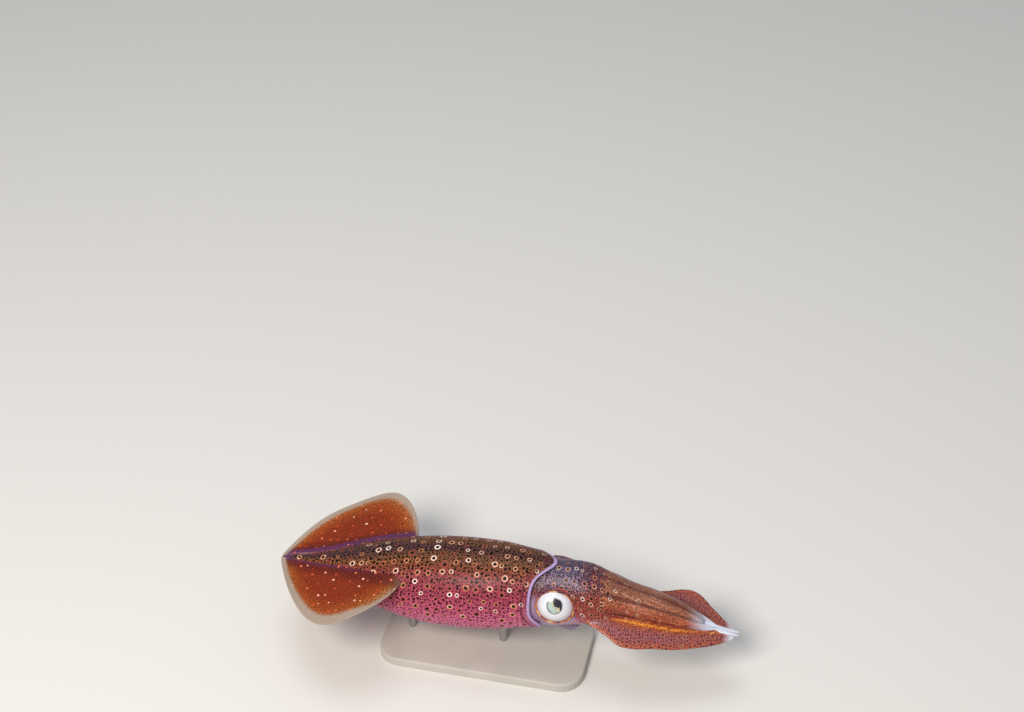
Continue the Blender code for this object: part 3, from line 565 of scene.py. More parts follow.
KEEL_LEAST_ROOT = 0.9
KEEL_SHOULDER = 0.8
KEEL_SPACING = 1.25
KEEL_ROUNDING = 0.0005
KEEL_BLUNTNESS = 0.02


def arm_places(arm, side, t):
    """For each share t of the crown's length: the arm's centre, on a circle about the axis that gathers to
    the tip, its outward direction, and its half width and half depth, which fade to the tip."""
    shape = ARMS[arm]
    gather = smooth(CROWN_GATHER, t)
    size = gather * smooth(ARM_TIP, t / shape["reach"])
    s = CROWN_START + t * CROWN_LENGTH
    angle = math.radians(shape["angle"])
    outward = np.array([0, SIDES[side] * math.sin(angle), math.cos(angle)])
    pinch = np.clip((t - TIP_START) / (1 - TIP_START), 0, 1)
    ring = ARM_RING_RADIUS * gather * (1 - TIP_PINCH * pinch**2 * (3 - 2 * pinch))
    centre = np.stack([TAIL_X + s, 0 * s, axis_height(s)], -1) + np.outer(ring, outward)
    depth = ARM_HALF_DEPTH * size
    width = ARM_RING_RADIUS * math.sin(math.radians(shape["half_angle"])) * size + ARM_OVERLAP * gather
    return centre, outward, np.maximum(width, ARM_SLIMMEST * depth), depth, ring


def arm_tube(arm, side, rows=96, columns=28):
    """An arm: the section is a superellipse, whose outer half widens in step with its distance from the
    body's axis, so that neighbours close up. On the keeled arm the outer half is a thin keel: its half
    thickness is a linear taper plus a bell-shaped body, and it sags with the square of the way out. The mark
    edge is the distance from the keel's edge or from the seam with the next arm, and inner runs from none
    outermost to one on the mouth's side."""
    t = ARMS[arm]["reach"] * np.linspace(0, 1, rows)
    centre, outward, width, depth, ring = arm_places(arm, side, t)
    across = np.cross([1, 0, 0], outward) * SIDES[side]
    t, width, depth, ring = t[:, None], width[:, None], depth[:, None], ring[:, None]

    def section(inside, below, above):
        """One value round the keeled section: inside, out along the keel below, back above and closed."""
        parts = (inside, below, above[:, ::-1], inside[:, :1])
        return np.concatenate([part + 0 * depth for part in parts], 1)

    if arm == KEELED_ARM:
        inner = np.linspace(0.5 * math.pi, 1.5 * math.pi, columns // 2)[None, :]
        way = np.linspace(0, 1, columns + 1)[1:][None, :] ** KEEL_SPACING
        reach = np.maximum(smooth(KEEL_SPAN[side], t) - np.abs(centre[:, 1:2]), KEEL_LEAST_REACH * depth)
        thin = np.minimum(KEEL_EDGE, KEEL_LEAST_EDGE * width) / 2
        keel = thin + (np.minimum(KEEL_ROOT, KEEL_LEAST_ROOT * width) - thin) * (1 - way)
        body = np.maximum((width - keel) * np.exp(-(reach * way / (KEEL_SHOULDER * depth)) ** 2), 0)
        half = (keel + body) * rounded_off(reach * (1 - way), KEEL_ROUNDING, KEEL_BLUNTNESS)
        droop = KEEL_DROOP[side] * reach * way**2
        from_edge = MM * reach * (1 - way)
        out = section(depth * np.cos(inner), reach * way, reach * way)
        up = section(width * (1 + ARM_EGG * np.cos(inner)) * np.sin(inner), -half, half)
        sag = section(0 * inner, droop, droop)
        edge = section(FAR_FROM_EDGE + 0 * inner, from_edge, from_edge)
        mouthward = section(0.5 - 0.5 * np.cos(inner), 0.5 - 0.5 * way, 0.5 - 0.5 * way)
    else:
        angle = np.linspace(0, 2 * math.pi, columns + 1)[None, :]
        outer = np.sin(angle) > 0
        out = depth * np.where(outer, np.abs(np.sin(angle)) ** ARM_SQUARENESS, np.sin(angle))
        wide = width * np.where(outer, (ring + out) / ring, 1 + ARM_EGG * np.sin(angle))
        up = wide * np.sign(np.cos(angle)) * np.abs(np.cos(angle)) ** np.where(outer, ARM_SQUARENESS, 1)
        sag = 0 * out
        edge = MM * np.clip(SEAM_SHARE * wide - np.abs(up), 0, None)
        mouthward = 0.5 - 0.5 * out / depth
    points = centre[:, None] + out[..., None] * outward + up[..., None] * across
    points[..., 2] -= sag
    steps = np.linalg.norm(np.diff(points, axis=1), axis=2)
    girth = np.concatenate([0 * t, np.cumsum(steps, 1)], 1)
    chart = MM * np.stack([t * CROWN_LENGTH + ARM_CHART_STEP * arm + 0 * girth, girth], -1)
    return closed_tube(f"arm_{side}_{arm}_flesh", points, chart, back=turned_up(points), edge=edge, run=t,
                       inner=mouthward)


for side in SIDES:
    for arm in ARMS:
        flesh[f"arm_{side}_{arm}"] = arm_tube(arm, side)


# Tentacles. Two longer, thinner arms folded away between the others, of which only the flattened clubs show
# where the crown comes to its tip.
TENTACLE_OFFSET = 0.0027
TENTACLE_RADIUS = 0.0019
CLUB_START = 0.66
CLUB_TIP_OFFSET = 0.0011
CLUB_RADII = (0.0012, 0.0009)
CLUB_RISE = 0.0008
CLUB_SETTING_IN = 4
CLUB_ROUNDED_FROM = 0.72
CLUB_BLUNTNESS = 0.03


def tentacle_tube(side, rows=90, columns=18):
    """A tentacle: ellipses across the body's axis, whose round stalk turns into a flat club that closes as
    an ellipse too. The offset falls from the stalk's to the club's."""
    t = np.linspace(0, 1, rows)[:, None]
    club = np.clip((t - CLUB_START) / (1 - CLUB_START), 0, 1)
    gather = smooth(CROWN_GATHER, t)
    offset = TENTACLE_OFFSET * gather * (1 - club) + CLUB_TIP_OFFSET * club
    blend = np.minimum(1, club * CLUB_SETTING_IN)
    rounded = 1 - np.maximum(0, (club - CLUB_ROUNDED_FROM) / (1 - CLUB_ROUNDED_FROM)) ** 2
    end = np.sqrt(np.maximum(CLUB_BLUNTNESS, rounded))
    width, depth = ((TENTACLE_RADIUS * gather * (1 - blend) + radius * blend) * end for radius in CLUB_RADII)
    s = CROWN_START + t * CROWN_LENGTH
    angle = np.linspace(0, 2 * math.pi, columns + 1)[None, :]
    points = np.stack([TAIL_X + s + 0 * angle, SIDES[side] * offset + width * np.cos(angle),
                       axis_height(s) + CLUB_RISE * club + depth * np.sin(angle)], -1)
    chart = MM * np.stack([s + 0 * angle, width * angle], -1)
    return closed_tube(f"tentacle_{side}_flesh", points, chart, back=turned_up(points), edge=FAR_FROM_EDGE,
                       run=t, inner=0.0)


for side in SIDES:
    flesh[f"tentacle_{side}"] = tentacle_tube(side)


# Skin. One living skin covers mantle, fins, head, funnel, arms and tentacles without a seam: the flesh
# pieces are fused, the creases where they meet are relaxed, and the eyes' sockets are cut out of it.
SKIN_KINDS = ("mantle", "fin", "head", "orbit", "funnel", "arm", "keel", "tentacle")
SEAM_RINGS = 6
SEAM_PASSES = 18
SEAM_PULL = 0.6
SOCKET_CLEARANCE = 0.00012


def fuse(target, operation, others):
    """One Boolean between the target and other closed objects, applied, and the others removed."""
    tools = bpy.data.collections.new("tools")
    for other in others:
        tools.objects.link(other)
    step = target.modifiers.new("fuse", "BOOLEAN")
    step.operation = operation
    step.operand_type = "COLLECTION"
    step.collection = tools
    step.solver = "MANIFOLD"
    graph = bpy.context.evaluated_depsgraph_get()
    mesh = bpy.data.meshes.new_from_object(target.evaluated_get(graph))
    target.modifiers.clear()
    target.data = mesh
    for other in others:
        bpy.data.objects.remove(other)
    bpy.data.collections.remove(tools)


def read(members, name, kind=np.int32):
    """The values of that name of a mesh's members, such as its edges or its corners, one after the other."""
    first = getattr(members[0], name)
    values = np.zeros(len(members) * (len(first) if hasattr(first, "__len__") else 1), kind)
    members.foreach_get(name, values)
    return values


def relax_seams(mesh):
    """Smooths the creases where two pieces of flesh meet. A weight starts at one on those edges and fades
    over a few rings of neighbours. Each pass moves a point by its weight towards the mean of its
    neighbours."""
    edges = read(mesh.edges, "vertices").reshape(-1, 2)
    piece = read(mesh.attributes["piece"].data, "value")
    corner_piece = np.repeat(piece, read(mesh.polygons, "loop_total"))
    corner_edge = read(mesh.loops, "edge_index")
    lowest = np.full(len(edges), len(piece))
    highest = np.full(len(edges), -1)
    np.minimum.at(lowest, corner_edge, corner_piece)
    np.maximum.at(highest, corner_edge, corner_piece)
    points = read(mesh.vertices, "co", np.float32).reshape(-1, 3).astype(float)
    weight = np.zeros(len(points))
    weight[edges[lowest != highest].ravel()] = 1
    point, neighbour = np.concatenate([edges, edges[:, ::-1]]).T
    for ring in range(SEAM_RINGS):
        spread = weight.copy()
        np.maximum.at(spread, point, weight[neighbour] - 1 / (SEAM_RINGS + 1))
        weight = spread
    count = np.bincount(point, minlength=len(points))[:, None]
    for step in range(SEAM_PASSES):
        around = np.stack([np.bincount(point, points[neighbour, k], len(points)) for k in range(3)], -1)
        points += SEAM_PULL * weight[:, None] * (around / count - points)
    mesh.vertices.foreach_set("co", points.astype(np.float32).ravel())


def eyeball_tube(name, side, grow=0.0, rows=60, columns=96):
    """An eyeball: an ellipsoid of rings about the eye's axis, a little longer than it is high. Its chart is
    the flat place in the eye's own plane, and it is marked from minus one behind to one in front."""
    polar = math.pi * (np.arange(rows) + 0.5) / rows
    points, flat = eye_rings(side, -(EYE_SIDE_RADIUS + grow) * np.cos(polar),
                             (EYE_LENGTH_RADIUS + grow) * np.sin(polar), columns)
    return closed_tube(name, points, MM * flat, front=-np.cos(polar)[:, None])


for number, part in enumerate(flesh.values()):
    mark = part.data.attributes.new("piece", "INT", "FACE")
    mark.data.foreach_set("value", np.full(len(part.data.polygons), number))
kinds = ["keel" if name.endswith(str(KEELED_ARM)) else name.split("_")[0] for name in flesh]
kinds = np.array([SKIN_KINDS.index(kind) for kind in kinds], np.int32)
skin = flesh.pop("mantle")
skin.name = "skin"
fuse(skin, "UNION", list(flesh.values()))
relax_seams(skin.data)
fuse(skin, "DIFFERENCE", [eyeball_tube("socket", side, SOCKET_CLEARANCE) for side in SIDES])
skin.data.shade_smooth()
skin.data.materials.clear()
piece_kind = kinds[read(skin.data.attributes["piece"].data, "value")]


def uneven(tree, place, push, scale=0.4, detail=1.0):
    """The place in millimetres, pushed about in its plane by soft noise of that many millimetres."""
    noise = node(tree, "TexNoise", (place, scale, detail), output="Color")
    noise = node(tree, "VectorMath", (noise, (0.5, 0.5, 0.5)), operation="SUBTRACT")
    return node(tree, "VectorMath", (noise, (push, push, 0), place), operation="MULTIPLY_ADD")


def skin_finish(name, marks, push, **values):
    """The skin's next material. Returns its node tree, the pattern's map in millimetres, pushed about by
    soft noise of that many millimetres, and the named marks."""
    made, tree = new_finish(name, **values)
    skin.data.materials.append(made)
    chart = node(tree, "UVMap", uv_map="chart")
    chart = uneven(tree, chart, push) if push else chart
    return tree, chart, *[node(tree, "Attribute", attribute_name=mark, output="Fac") for mark in marks]


def cells(tree, chart, spacing, jitter=0.75, shift=(0, 0), sizes=(1.35, 0.8)):
    """One layer of pigment cells: scattered points about spacing millimetres apart. Returns the distance
    from the nearest in millimetres, stretched or shrunk by chance between the two sizes, so that the cells
    differ, and a chance number of its own."""
    moved = node(tree, "VectorMath", (chart, (*shift, 0)), operation="ADD")
    distance = node(tree, "TexVoronoi", {"Vector": moved, "Scale": 1 / spacing, "Randomness": jitter},
                    voronoi_dimensions="2D")
    chance = node(tree, "SeparateColor", (distance.node.outputs["Color"],))
    stretch = node(tree, "MapRange", (chance, 0, 1, sizes[0] * spacing, sizes[1] * spacing))
    reach = node(tree, "Math", (distance, stretch), operation="MULTIPLY")
    return reach, chance.node.outputs["Green"]


def painted(tree, base, layers):
    """Colour of a base under layers of (value, span, colour). The share of a layer rises smoothly from none
    where the value is the span's first number to all, or to the span's third number, where it is the
    second."""
    for value, span, colour in layers:
        start, end, top = (*span, 1.0)[:3]
        share = node(tree, "MapRange", (value, start, end, 0, top), interpolation_type="SMOOTHSTEP")
        base = node(tree, "Mix", (share, base, colour), data_type="RGBA")
    return base


def speckled(tree, chart, tone, dark, net, star, fine, medium, large, shrink=1.0, dim=0.45):
    """Skin with pigment cells of three sizes over a tone. fine is (spacing, dot radius). medium is (spacing,
    ring radius, dot radius), with a thin ring of the net's colour. large is (spacing, clear radius, ring
    radius, dot radius), and the colour of its ring on the star's ramp goes by chance and noise, less dim.
    The fine dots get smaller where shrink is above one."""
    dots, _ = cells(tree, chart, fine[0])
    dots = node(tree, "Math", (dots, shrink), operation="MULTIPLY")
    rings, _ = cells(tree, chart, medium[0], jitter=0.6, shift=(3.7, 8.1))
    stars, chance = cells(tree, chart, large[0], jitter=0.7, shift=(11.3, 4.9))
    noise = node(tree, "TexNoise", (chart, 0.8, 1.0))
    chance = node(tree, "Math", (noise, 0.9, chance), operation="MULTIPLY_ADD")
    star = node(tree, "ValToRGB", (node(tree, "Math", (chance, dim), operation="SUBTRACT"),), star)
    return painted(tree, tone, [
        (dots, (fine[1] + 0.1, fine[1] - 0.1, 0.85), dark),
        (rings, (medium[1] + 0.12, medium[1] - 0.12, 0.4), net),
        (rings, (medium[2] + 0.1, medium[2] - 0.1), dark),
        (stars, (large[1] + 0.3, large[1], 0.75), tone),
        (stars, (large[2] + 0.15, large[2] - 0.1, 0.9), star),
        (stars, (large[3] + 0.12, large[3] - 0.1), "#190a10")])


# Mantle skin: living squid skin is clear and wet, over iridescent cells that give a violet sheen at grazing
# angles, and holds pigment cells of three sizes, 1.1, 2.3 and 6.5 mm apart. It is brown-black with a gold
# net on the back, crimson on the sides and pink below, and the large rings are dull on the belly and the
# tail. A dark line and a band, which is mauve below, lie behind the pale lilac lip of the collar, and the
# tip of the tail is violet.
tree, chart, back, edge, run = skin_finish(
    "wet_mantle_skin", ("back", "edge", "run"), 0.5, Roughness=0.4, Specular_IOR_Level=0.08, Coat_Weight=0.03,
    Coat_Roughness=0.12, Sheen_Weight=0.5, Sheen_Tint="#5a48e0", Sheen_Roughness=0.12)
browner = node(tree, "MapRange", (run, 40, 85, 0.07, 0))
back = node(tree, "Math", (back, browner), operation="ADD")
tone = node(tree, "ValToRGB", (back,), [
    (0.0, "#dfaec0"), (0.25, "#d68ea8"), (0.42, "#c46686"), (0.53, "#b04c68"), (0.66, "#9c3c50"),
    (0.76, "#903c44"), (0.84, "#844232"), (0.90, "#754832"), (0.96, "#643e34"), (1.0, "#583638")])
dark = node(tree, "ValToRGB", (back,), [
    (0.0, "#c47e96"), (0.25, "#a44264"), (0.42, "#822848"), (0.55, "#560f28"), (0.70, "#340814"),
    (0.85, "#1c0608"), (1.0, "#12060e")])
net = node(tree, "ValToRGB", (back,), [
    (0.0, "#e6c4cc"), (0.40, "#dc98b4"), (0.60, "#cc7c7c"), (0.75, "#c47a64"), (0.84, "#c08048"),
    (0.92, "#b4843f"), (1.0, "#7c5c50")])
star = [(0.15, "#8a4434"), (0.45, "#bc7c4c"), (0.7, "#e4b898"), (0.95, "#fff4ea")]
shrink = node(tree, "MapRange", (back, 0.3, 0.85, 0.94, 0.84))
belly = node(tree, "MapRange", (back, 0.38, 0.60, 1.05, 0.45))
tail = node(tree, "MapRange", (run, 15, 50, 0.35, 0))
dim = node(tree, "Math", (belly, tail), operation="ADD")
colour = speckled(tree, chart, tone, dark, net, star, (1.1, 0.36), (2.3, 1.0, 0.78), (6.5, 1.7, 1.32, 0.83),
                  shrink, dim)
band = painted(tree, colour, [(back, (0.62, 0.42, 0.75), "#96566c")])
colour = painted(tree, colour, [(edge, (5.8, 5.0, 0.65), "#5a2430"), (edge, (4.4, 3.6), band),
                                (edge, (2.4, 1.5, 0.9), "#a894c0"), (run, (9.0, 2.0, 0.65), "#66466e")])
shade(tree, Base_Color=colour)

# Fin skin: rust-brown and finely dotted on both faces, paler below, and darker where it meets the body, with
# a painted violet sheen along the root, which is broader on the left fin. Bright spots lie 5.4 mm apart. At
# the edge the dots die out in a ragged, clear margin, wider at the right fin's side. It narrows towards the
# front, where it ends on the right fin.
tree, chart, back, edge, run, inner = skin_finish(
    "wet_fin_skin", ("back", "edge", "run", "inner"), 0.4, Roughness=0.4, Specular_IOR_Level=0.12,
    Coat_Weight=0.05, Coat_Roughness=0.12, Sheen_Weight=0.05, Sheen_Tint="#5f4cd0", Sheen_Roughness=0.3)
reach = node(tree, "Math", (edge, 1 / FAR_FROM_EDGE), operation="MULTIPLY")
tone = node(tree, "ValToRGB", (reach,), [
    (0.05, "#a88468"), (0.16, "#a86a38"), (0.30, "#a04c1c"), (0.6, "#86300f")])
across = node(tree, "SeparateXYZ", (chart,), output="Y")
# Painted violet sheen along each fin's root, broader on the left fin.
violet = node(tree, "Math", (across, 0.006, inner), operation="MULTIPLY_ADD")
tone = painted(tree, tone, [(inner, (0.25, 1.0, 0.8), "#4a1618"), (violet, (0.9, 1.0, 0.65), "#54366e")])
star = [(0.2, "#8c2810"), (0.45, "#c8401c"), (0.75, "#ec7450"), (1.0, "#ffd2bc")]
colour = speckled(tree, chart, tone, "#461008", "#a8582a", star, (0.85, 0.28), (2.1, 0.46, 0.34),
                  (5.4, 0.7, 0.5, -0.2))
noise = node(tree, "TexNoise", (chart, 1.1, 2.0))
ragged = edge
for value, *span in ((noise, 0.3, 0.7, -0.8, 0.8), (run, 56, 72, -0.9, 2.2), (across, -14, -30, 0, -1.6)):
    ragged = node(tree, "Math", (ragged, node(tree, "MapRange", (value, *span))), operation="ADD")
right = node(tree, "MapRange", (across, 2, -2))
ending = node(tree, "MapRange", (run, 50, 60, 0, 2.8))
ragged = node(tree, "Math", (right, ending, ragged), operation="MULTIPLY_ADD")
colour = painted(tree, colour, [(back, (1.0, 0.0, 0.5), "#c08a78"), (ragged, (5.6, 2.0, 0.95), "#9c8c7e")])
shade(tree, Base_Color=colour)

# Head skin: violet-black cells in a pale lilac net on top, red-brown towards the arms, crimson on the
# cheeks, and clear lavender below and behind the eyes. It is a little darker round each eye, with a red
# streak above the lid, whose thin crest is mottled orange and gold.
HEAD_STARS = [(0.15, "#7c3c30"), (0.45, "#b0744e"), (0.7, "#d0a888"), (1.0, "#ead8d0")]
for kind in ("head", "orbit"):
    tree, chart, back, edge, run = skin_finish(
        f"wet_{kind}_skin", ("back", "edge", "run"), 0.5, Roughness=0.4, Specular_IOR_Level=0.12,
        Coat_Weight=0.05, Coat_Roughness=0.12, Sheen_Weight=0.5, Sheen_Tint="#5a48e0", Sheen_Roughness=0.12)
    tone = node(tree, "ValToRGB", (back,), [
        (0.0, "#d6c6d2"), (0.26, "#c4a9bc"), (0.36, "#b4789a"), (0.46, "#a84c5c"), (0.60, "#943a2a"),
        (0.70, "#7c3a3e"), (0.80, "#8c7488"), (0.92, "#766882"), (1.0, "#584c66")])
    tone = painted(tree, tone, [(run, (160, 173, 0.85), "#984634")])
    dark = node(tree, "ValToRGB", (back,), [
        (0.0, "#bd93aa"), (0.34, "#8a4666"), (0.46, "#4c1020"), (0.7, "#230a12"), (1.0, "#140a12")])
    net = node(tree, "ValToRGB", (back,), [
        (0.3, "#cdb0c4"), (0.5, "#c07c60"), (0.7, "#b08068"), (0.9, "#9a86a0")])
    shrink = node(tree, "MapRange", (back, 0.66, 0.82, 1.0, 0.76))
    colour = speckled(tree, chart, tone, dark, net, HEAD_STARS, (1.05, 0.41), (2.1, 0.76, 0.56),
                      (5.0, 1.3, 0.98, 0.66), shrink)
    behind = painted(tree, colour, [(run, (150, 145, 0.75), "#a48cae")])
    colour = painted(tree, colour, [(back, (0.70, 0.58), behind)])
    if kind == "orbit":
        streak = node(tree, "Math", (edge, 1.9), operation="SUBTRACT")
        streak = node(tree, "Math", (streak,), operation="ABSOLUTE")
        share = "#ffffff"
        for value, span in ((streak, (0.6, 0.2)), (back, (0.60, 0.66)), (run, (150, 154))):
            share = painted(tree, "#000000", [(value, span, share)])
        blotch = node(tree, "TexNoise", (chart, 0.3, 2.0))
        lid = node(tree, "ValToRGB", (blotch,), [
            (0.36, "#5a2428"), (0.46, "#9c4a20"), (0.56, "#d0862c"), (0.68, "#e4bc68")])
        colour = painted(tree, colour, [
            (edge, (7.0, 2.0, 0.3), "#463650"), (back, (0.50, 0.36, 0.9), "#b39cb4"),
            (share, (0.1, 1.0, 0.8), "#b04020"), (edge, (0.55, 0.2), lid)])
    shade(tree, Base_Color=colour)

# Funnel flesh: clear lavender-grey, paler at the lip, with a few faint violet dots.
tree, chart, edge = skin_finish(
    "clear_funnel_flesh", ("edge",), 0, Roughness=0.35, Specular_IOR_Level=0.35, Subsurface_Weight=0.2,
    Subsurface_Scale=0.002, Coat_Weight=0.15, Coat_Roughness=0.2)
dots, _ = cells(tree, chart, 2.6)
colour = painted(tree, "#84748a", [(dots, (0.5, 0.3, 0.5), "#5a4052"), (edge, (2.6, 0.8, 0.85), "#b9aec8")])
shade(tree, Base_Color=colour)


def streaked(tree, chart, tone, dark, pale):
    """Arm skin: the tone under lengthwise streaks of soft noise, dark and pale, with small dark dots drawn
    out along the arm and short pale flecks between them."""
    along = node(tree, "VectorMath", (chart, (0.05, 1.0, 1.0)), operation="MULTIPLY")
    noise = node(tree, "TexNoise", (along, 1.1, 3.0, 0.6))
    drawn = node(tree, "VectorMath", (chart, (0.55, 1.0, 1.0)), operation="MULTIPLY")
    dots, _ = cells(tree, drawn, 0.95)
    flecks, chance = cells(tree, drawn, 1.9, shift=(5.1, 2.3))
    flecks = node(tree, "Math", (chance, 0.5, flecks), operation="MULTIPLY_ADD")
    return painted(tree, tone, [(noise, (0.48, 0.34, 0.75), dark), (noise, (0.54, 0.68, 0.9), pale),
                                (dots, (0.36, 0.18, 0.8), dark), (flecks, (0.42, 0.25, 0.7), pale)])


# Arm skin: red-brown. Ringed cells near the head and on the sides give way to fine lengthwise streaks on top
# and towards the tips. It is paler below and on the inner faces, with painted shade darkening the seams
# between the arms, and clear bluish white at the tips, where the pigment cells stop.
tree, chart, back, edge, run, inner = skin_finish(
    "wet_arm_skin", ("back", "edge", "run", "inner"), 0.4, Roughness=0.38, Specular_IOR_Level=0.2,
    Coat_Weight=0.1, Coat_Roughness=0.15, Sheen_Weight=0.15, Sheen_Tint="#6454e0", Sheen_Roughness=0.2)
tone = node(tree, "ValToRGB", (back,), [
    (0.0, "#cbaca6"), (0.25, "#b98a80"), (0.45, "#943e24"), (0.58, "#8a341c"), (0.68, "#a8583a"),
    (0.80, "#985e44"), (1.0, "#8a5a48")])
tone = painted(tree, tone, [(run, (0.2, 0.0, 0.8), "#984634")])
ringed = speckled(tree, chart, tone, "#2c0c10", "#b98468", HEAD_STARS, (1.05, 0.38), (2.1, 0.72, 0.52),
                  (5.2, 1.3, 0.95, 0.6))
colour = streaked(tree, chart, tone, "#521c10", "#cc9c80")
ends = node(tree, "TexNoise", (node(tree, "VectorMath", (chart, (0.12, 1.0, 1.0)), operation="MULTIPLY"),))
ends = node(tree, "Math", (ends, 0.16, run), operation="MULTIPLY_ADD")
dotted = node(tree, "Math", (back, 0.5, run), operation="MULTIPLY_ADD")
# The dark lines along the seams between the arms are painted shade.
colour = painted(tree, colour, [(dotted, (1.0, 0.5), ringed), (edge, (0.5, 0.05, 0.65), "#3c1418"),
                                (inner, (0.6, 0.85), "#cdb8bc"), (ends, (0.75, 0.91, 0.95), "#bcc4d8")])
shade(tree, Base_Color=colour)

# Keel skin: the third arms are streaked with a thin orange-gold line along their ridge, plum with dark dots
# across the keel, rust-red under the dots at its edge, and pale at the tip.
tree, chart, edge, run, inner = skin_finish(
    "wet_keel_skin", ("edge", "run", "inner"), 0.4, Roughness=0.38, Specular_IOR_Level=0.2, Coat_Weight=0.1,
    Coat_Roughness=0.15, Sheen_Weight=0.06, Sheen_Tint="#6f5cd0", Sheen_Roughness=0.3)
tone = node(tree, "ValToRGB", (inner,), [
    (0.0, "#a8563c"), (0.08, "#9a4c42"), (0.20, "#96565c"), (0.30, "#964e44"), (0.37, "#984420"),
    (0.41, "#e08828"), (0.44, "#984220"), (0.5, "#7c3420")])
tone = painted(tree, tone, [(edge, (3.2, 0.6, 0.7), "#b45c38"), (run, (0.55, 0.85, 0.7), "#96503c")])
star = [(0.15, "#8c4038"), (0.6, "#b9785c"), (1.0, "#e0b090")]
dotted = speckled(tree, chart, tone, "#481018", "#c48a84", star, (0.95, 0.33), (2.0, 0.72, 0.54),
                  (5.5, 0.9, 0.7, 0.55))
lined = streaked(tree, chart, tone, "#4a1410", "#d08c50")
colour = painted(tree, dotted, [(inner, (0.30, 0.37), lined), (inner, (0.6, 0.85), "#cdb8bc"),
                                (run, (0.89, 0.97, 0.95), "#c8cede")])
shade(tree, Base_Color=colour)

# Tentacle skin: clear, bluish-white flesh with a few faint dots.
tree, chart = skin_finish(
    "wet_tentacle_skin", (), 0, Roughness=0.35, Specular_IOR_Level=0.35, Coat_Weight=0.12, Coat_Roughness=0.2,
    Subsurface_Weight=0.2, Subsurface_Scale=0.002)
dots, _ = cells(tree, chart, 1.4)
shade(tree, Base_Color=painted(tree, "#c8cddb", [(dots, (0.3, 0.15, 0.6), "#8a6a78")]))

skin.data.polygons.foreach_set("material_index", piece_kind)
skin.data.update()
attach(skin, "root")
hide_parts("mantle", "fin_left", "fin_right", "head", "funnel",
            *[f"arm_{side}_{arm}" for side in SIDES for arm in ARMS],
            *[f"tentacle_{side}_{length}" for side in SIDES for length in ("stalk", "club")])


# Eyes. Each is a pearly ball with a round pupil, seen through a clear, wet cornea. The pupil is dark above,
# with a painted cream glint and a painted silvery green reflection below, and the white has painted grey
# shade round the pupil and towards its rim. The skin leaves it free, and the lid lies close round it.
PUPIL_RADIUS = 4.0
PUPIL_LIFT = 2.1
WHITE_RADIUS = 10.5
pearl, tree = new_finish("pearly_eye_under_wet_cornea", Roughness=0.25, Coat_Weight=1.0, Coat_Roughness=0.04)
front = node(tree, "Attribute", attribute_name="front", output="Fac")
chart = node(tree, "UVMap", uv_map="chart")
place = node(tree, "VectorMath", (chart, (0, PUPIL_LIFT, 0)), operation="SUBTRACT")
place = uneven(tree, place, 0.9, 0.42, 1.5)
radius = node(tree, "VectorMath", (place,), operation="LENGTH", output="Value")
slant = node(tree, "VectorMath", (place, (-0.19, -0.16, 0)), operation="DOT_PRODUCT", output="Value")
jag = node(tree, "TexNoise", (place, 0.55, 2.0))
slant = node(tree, "Math", (jag, 1.4, slant), operation="MULTIPLY_ADD")
# The pupil: dark above, with a painted cream glint and a painted silvery green reflection below.
lens = node(tree, "ValToRGB", (node(tree, "MapRange", (slant, -0.3, 1.7)),), [
    (0.0, "#100a16"), (0.36, "#1a1322"), (0.42, "#3a3038"), (0.47, "#e6d7a6"), (0.52, "#8a9a90"),
    (0.68, "#aebfb4"), (0.85, "#8ea49e"), (1.0, "#5f7a80")])
# The white greys round the pupil and towards its rim: painted shade.
white = node(tree, "ValToRGB", (node(tree, "MapRange", (radius, PUPIL_RADIUS, WHITE_RADIUS)),), [
    (0.0, "#b8bbc5"), (0.12, "#d6d8de"), (0.5, "#cdcad1"), (0.8, "#bba9b2"), (1.0, "#9c88a0")])
colour = painted(tree, white, [(radius, (PUPIL_RADIUS + 0.25, PUPIL_RADIUS - 0.05), "#4c4854"),
                               (radius, (PUPIL_RADIUS - 0.1, PUPIL_RADIUS - 0.5), lens),
                               (front, (0.1, -0.2), "#8a7a92")])
shade(tree, Base_Color=colour)
for side in SIDES:
    eye = eyeball_tube(f"eyeball_{side}", side)
    eye.data.materials.append(pearl)
    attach(eye, "root")
    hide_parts(f"eye_{side}")


# Suckers. Two staggered rows of small cups on each arm's inner face, held on by short stalks. They are pale
# muscle round a darker horny ring, and get smaller towards the tip.
SUCKER_PAIRS = 24
SUCKER_RUN = (0.14, 0.80)
SUCKER_CROWDING = 0.85
SUCKER_SHARE = 0.22
SUCKER_SPREAD = 0.42
SUCKER_SMALLEST = 0.0002
CUP = [(-0.7, 0.0), (-0.7, 0.62), (0.0, 0.66), (0.35, 0.92), (0.66, 1.0), (0.80, 0.90), (0.74, 0.70),
       (0.40, 0.52), (0.34, 0.0)]


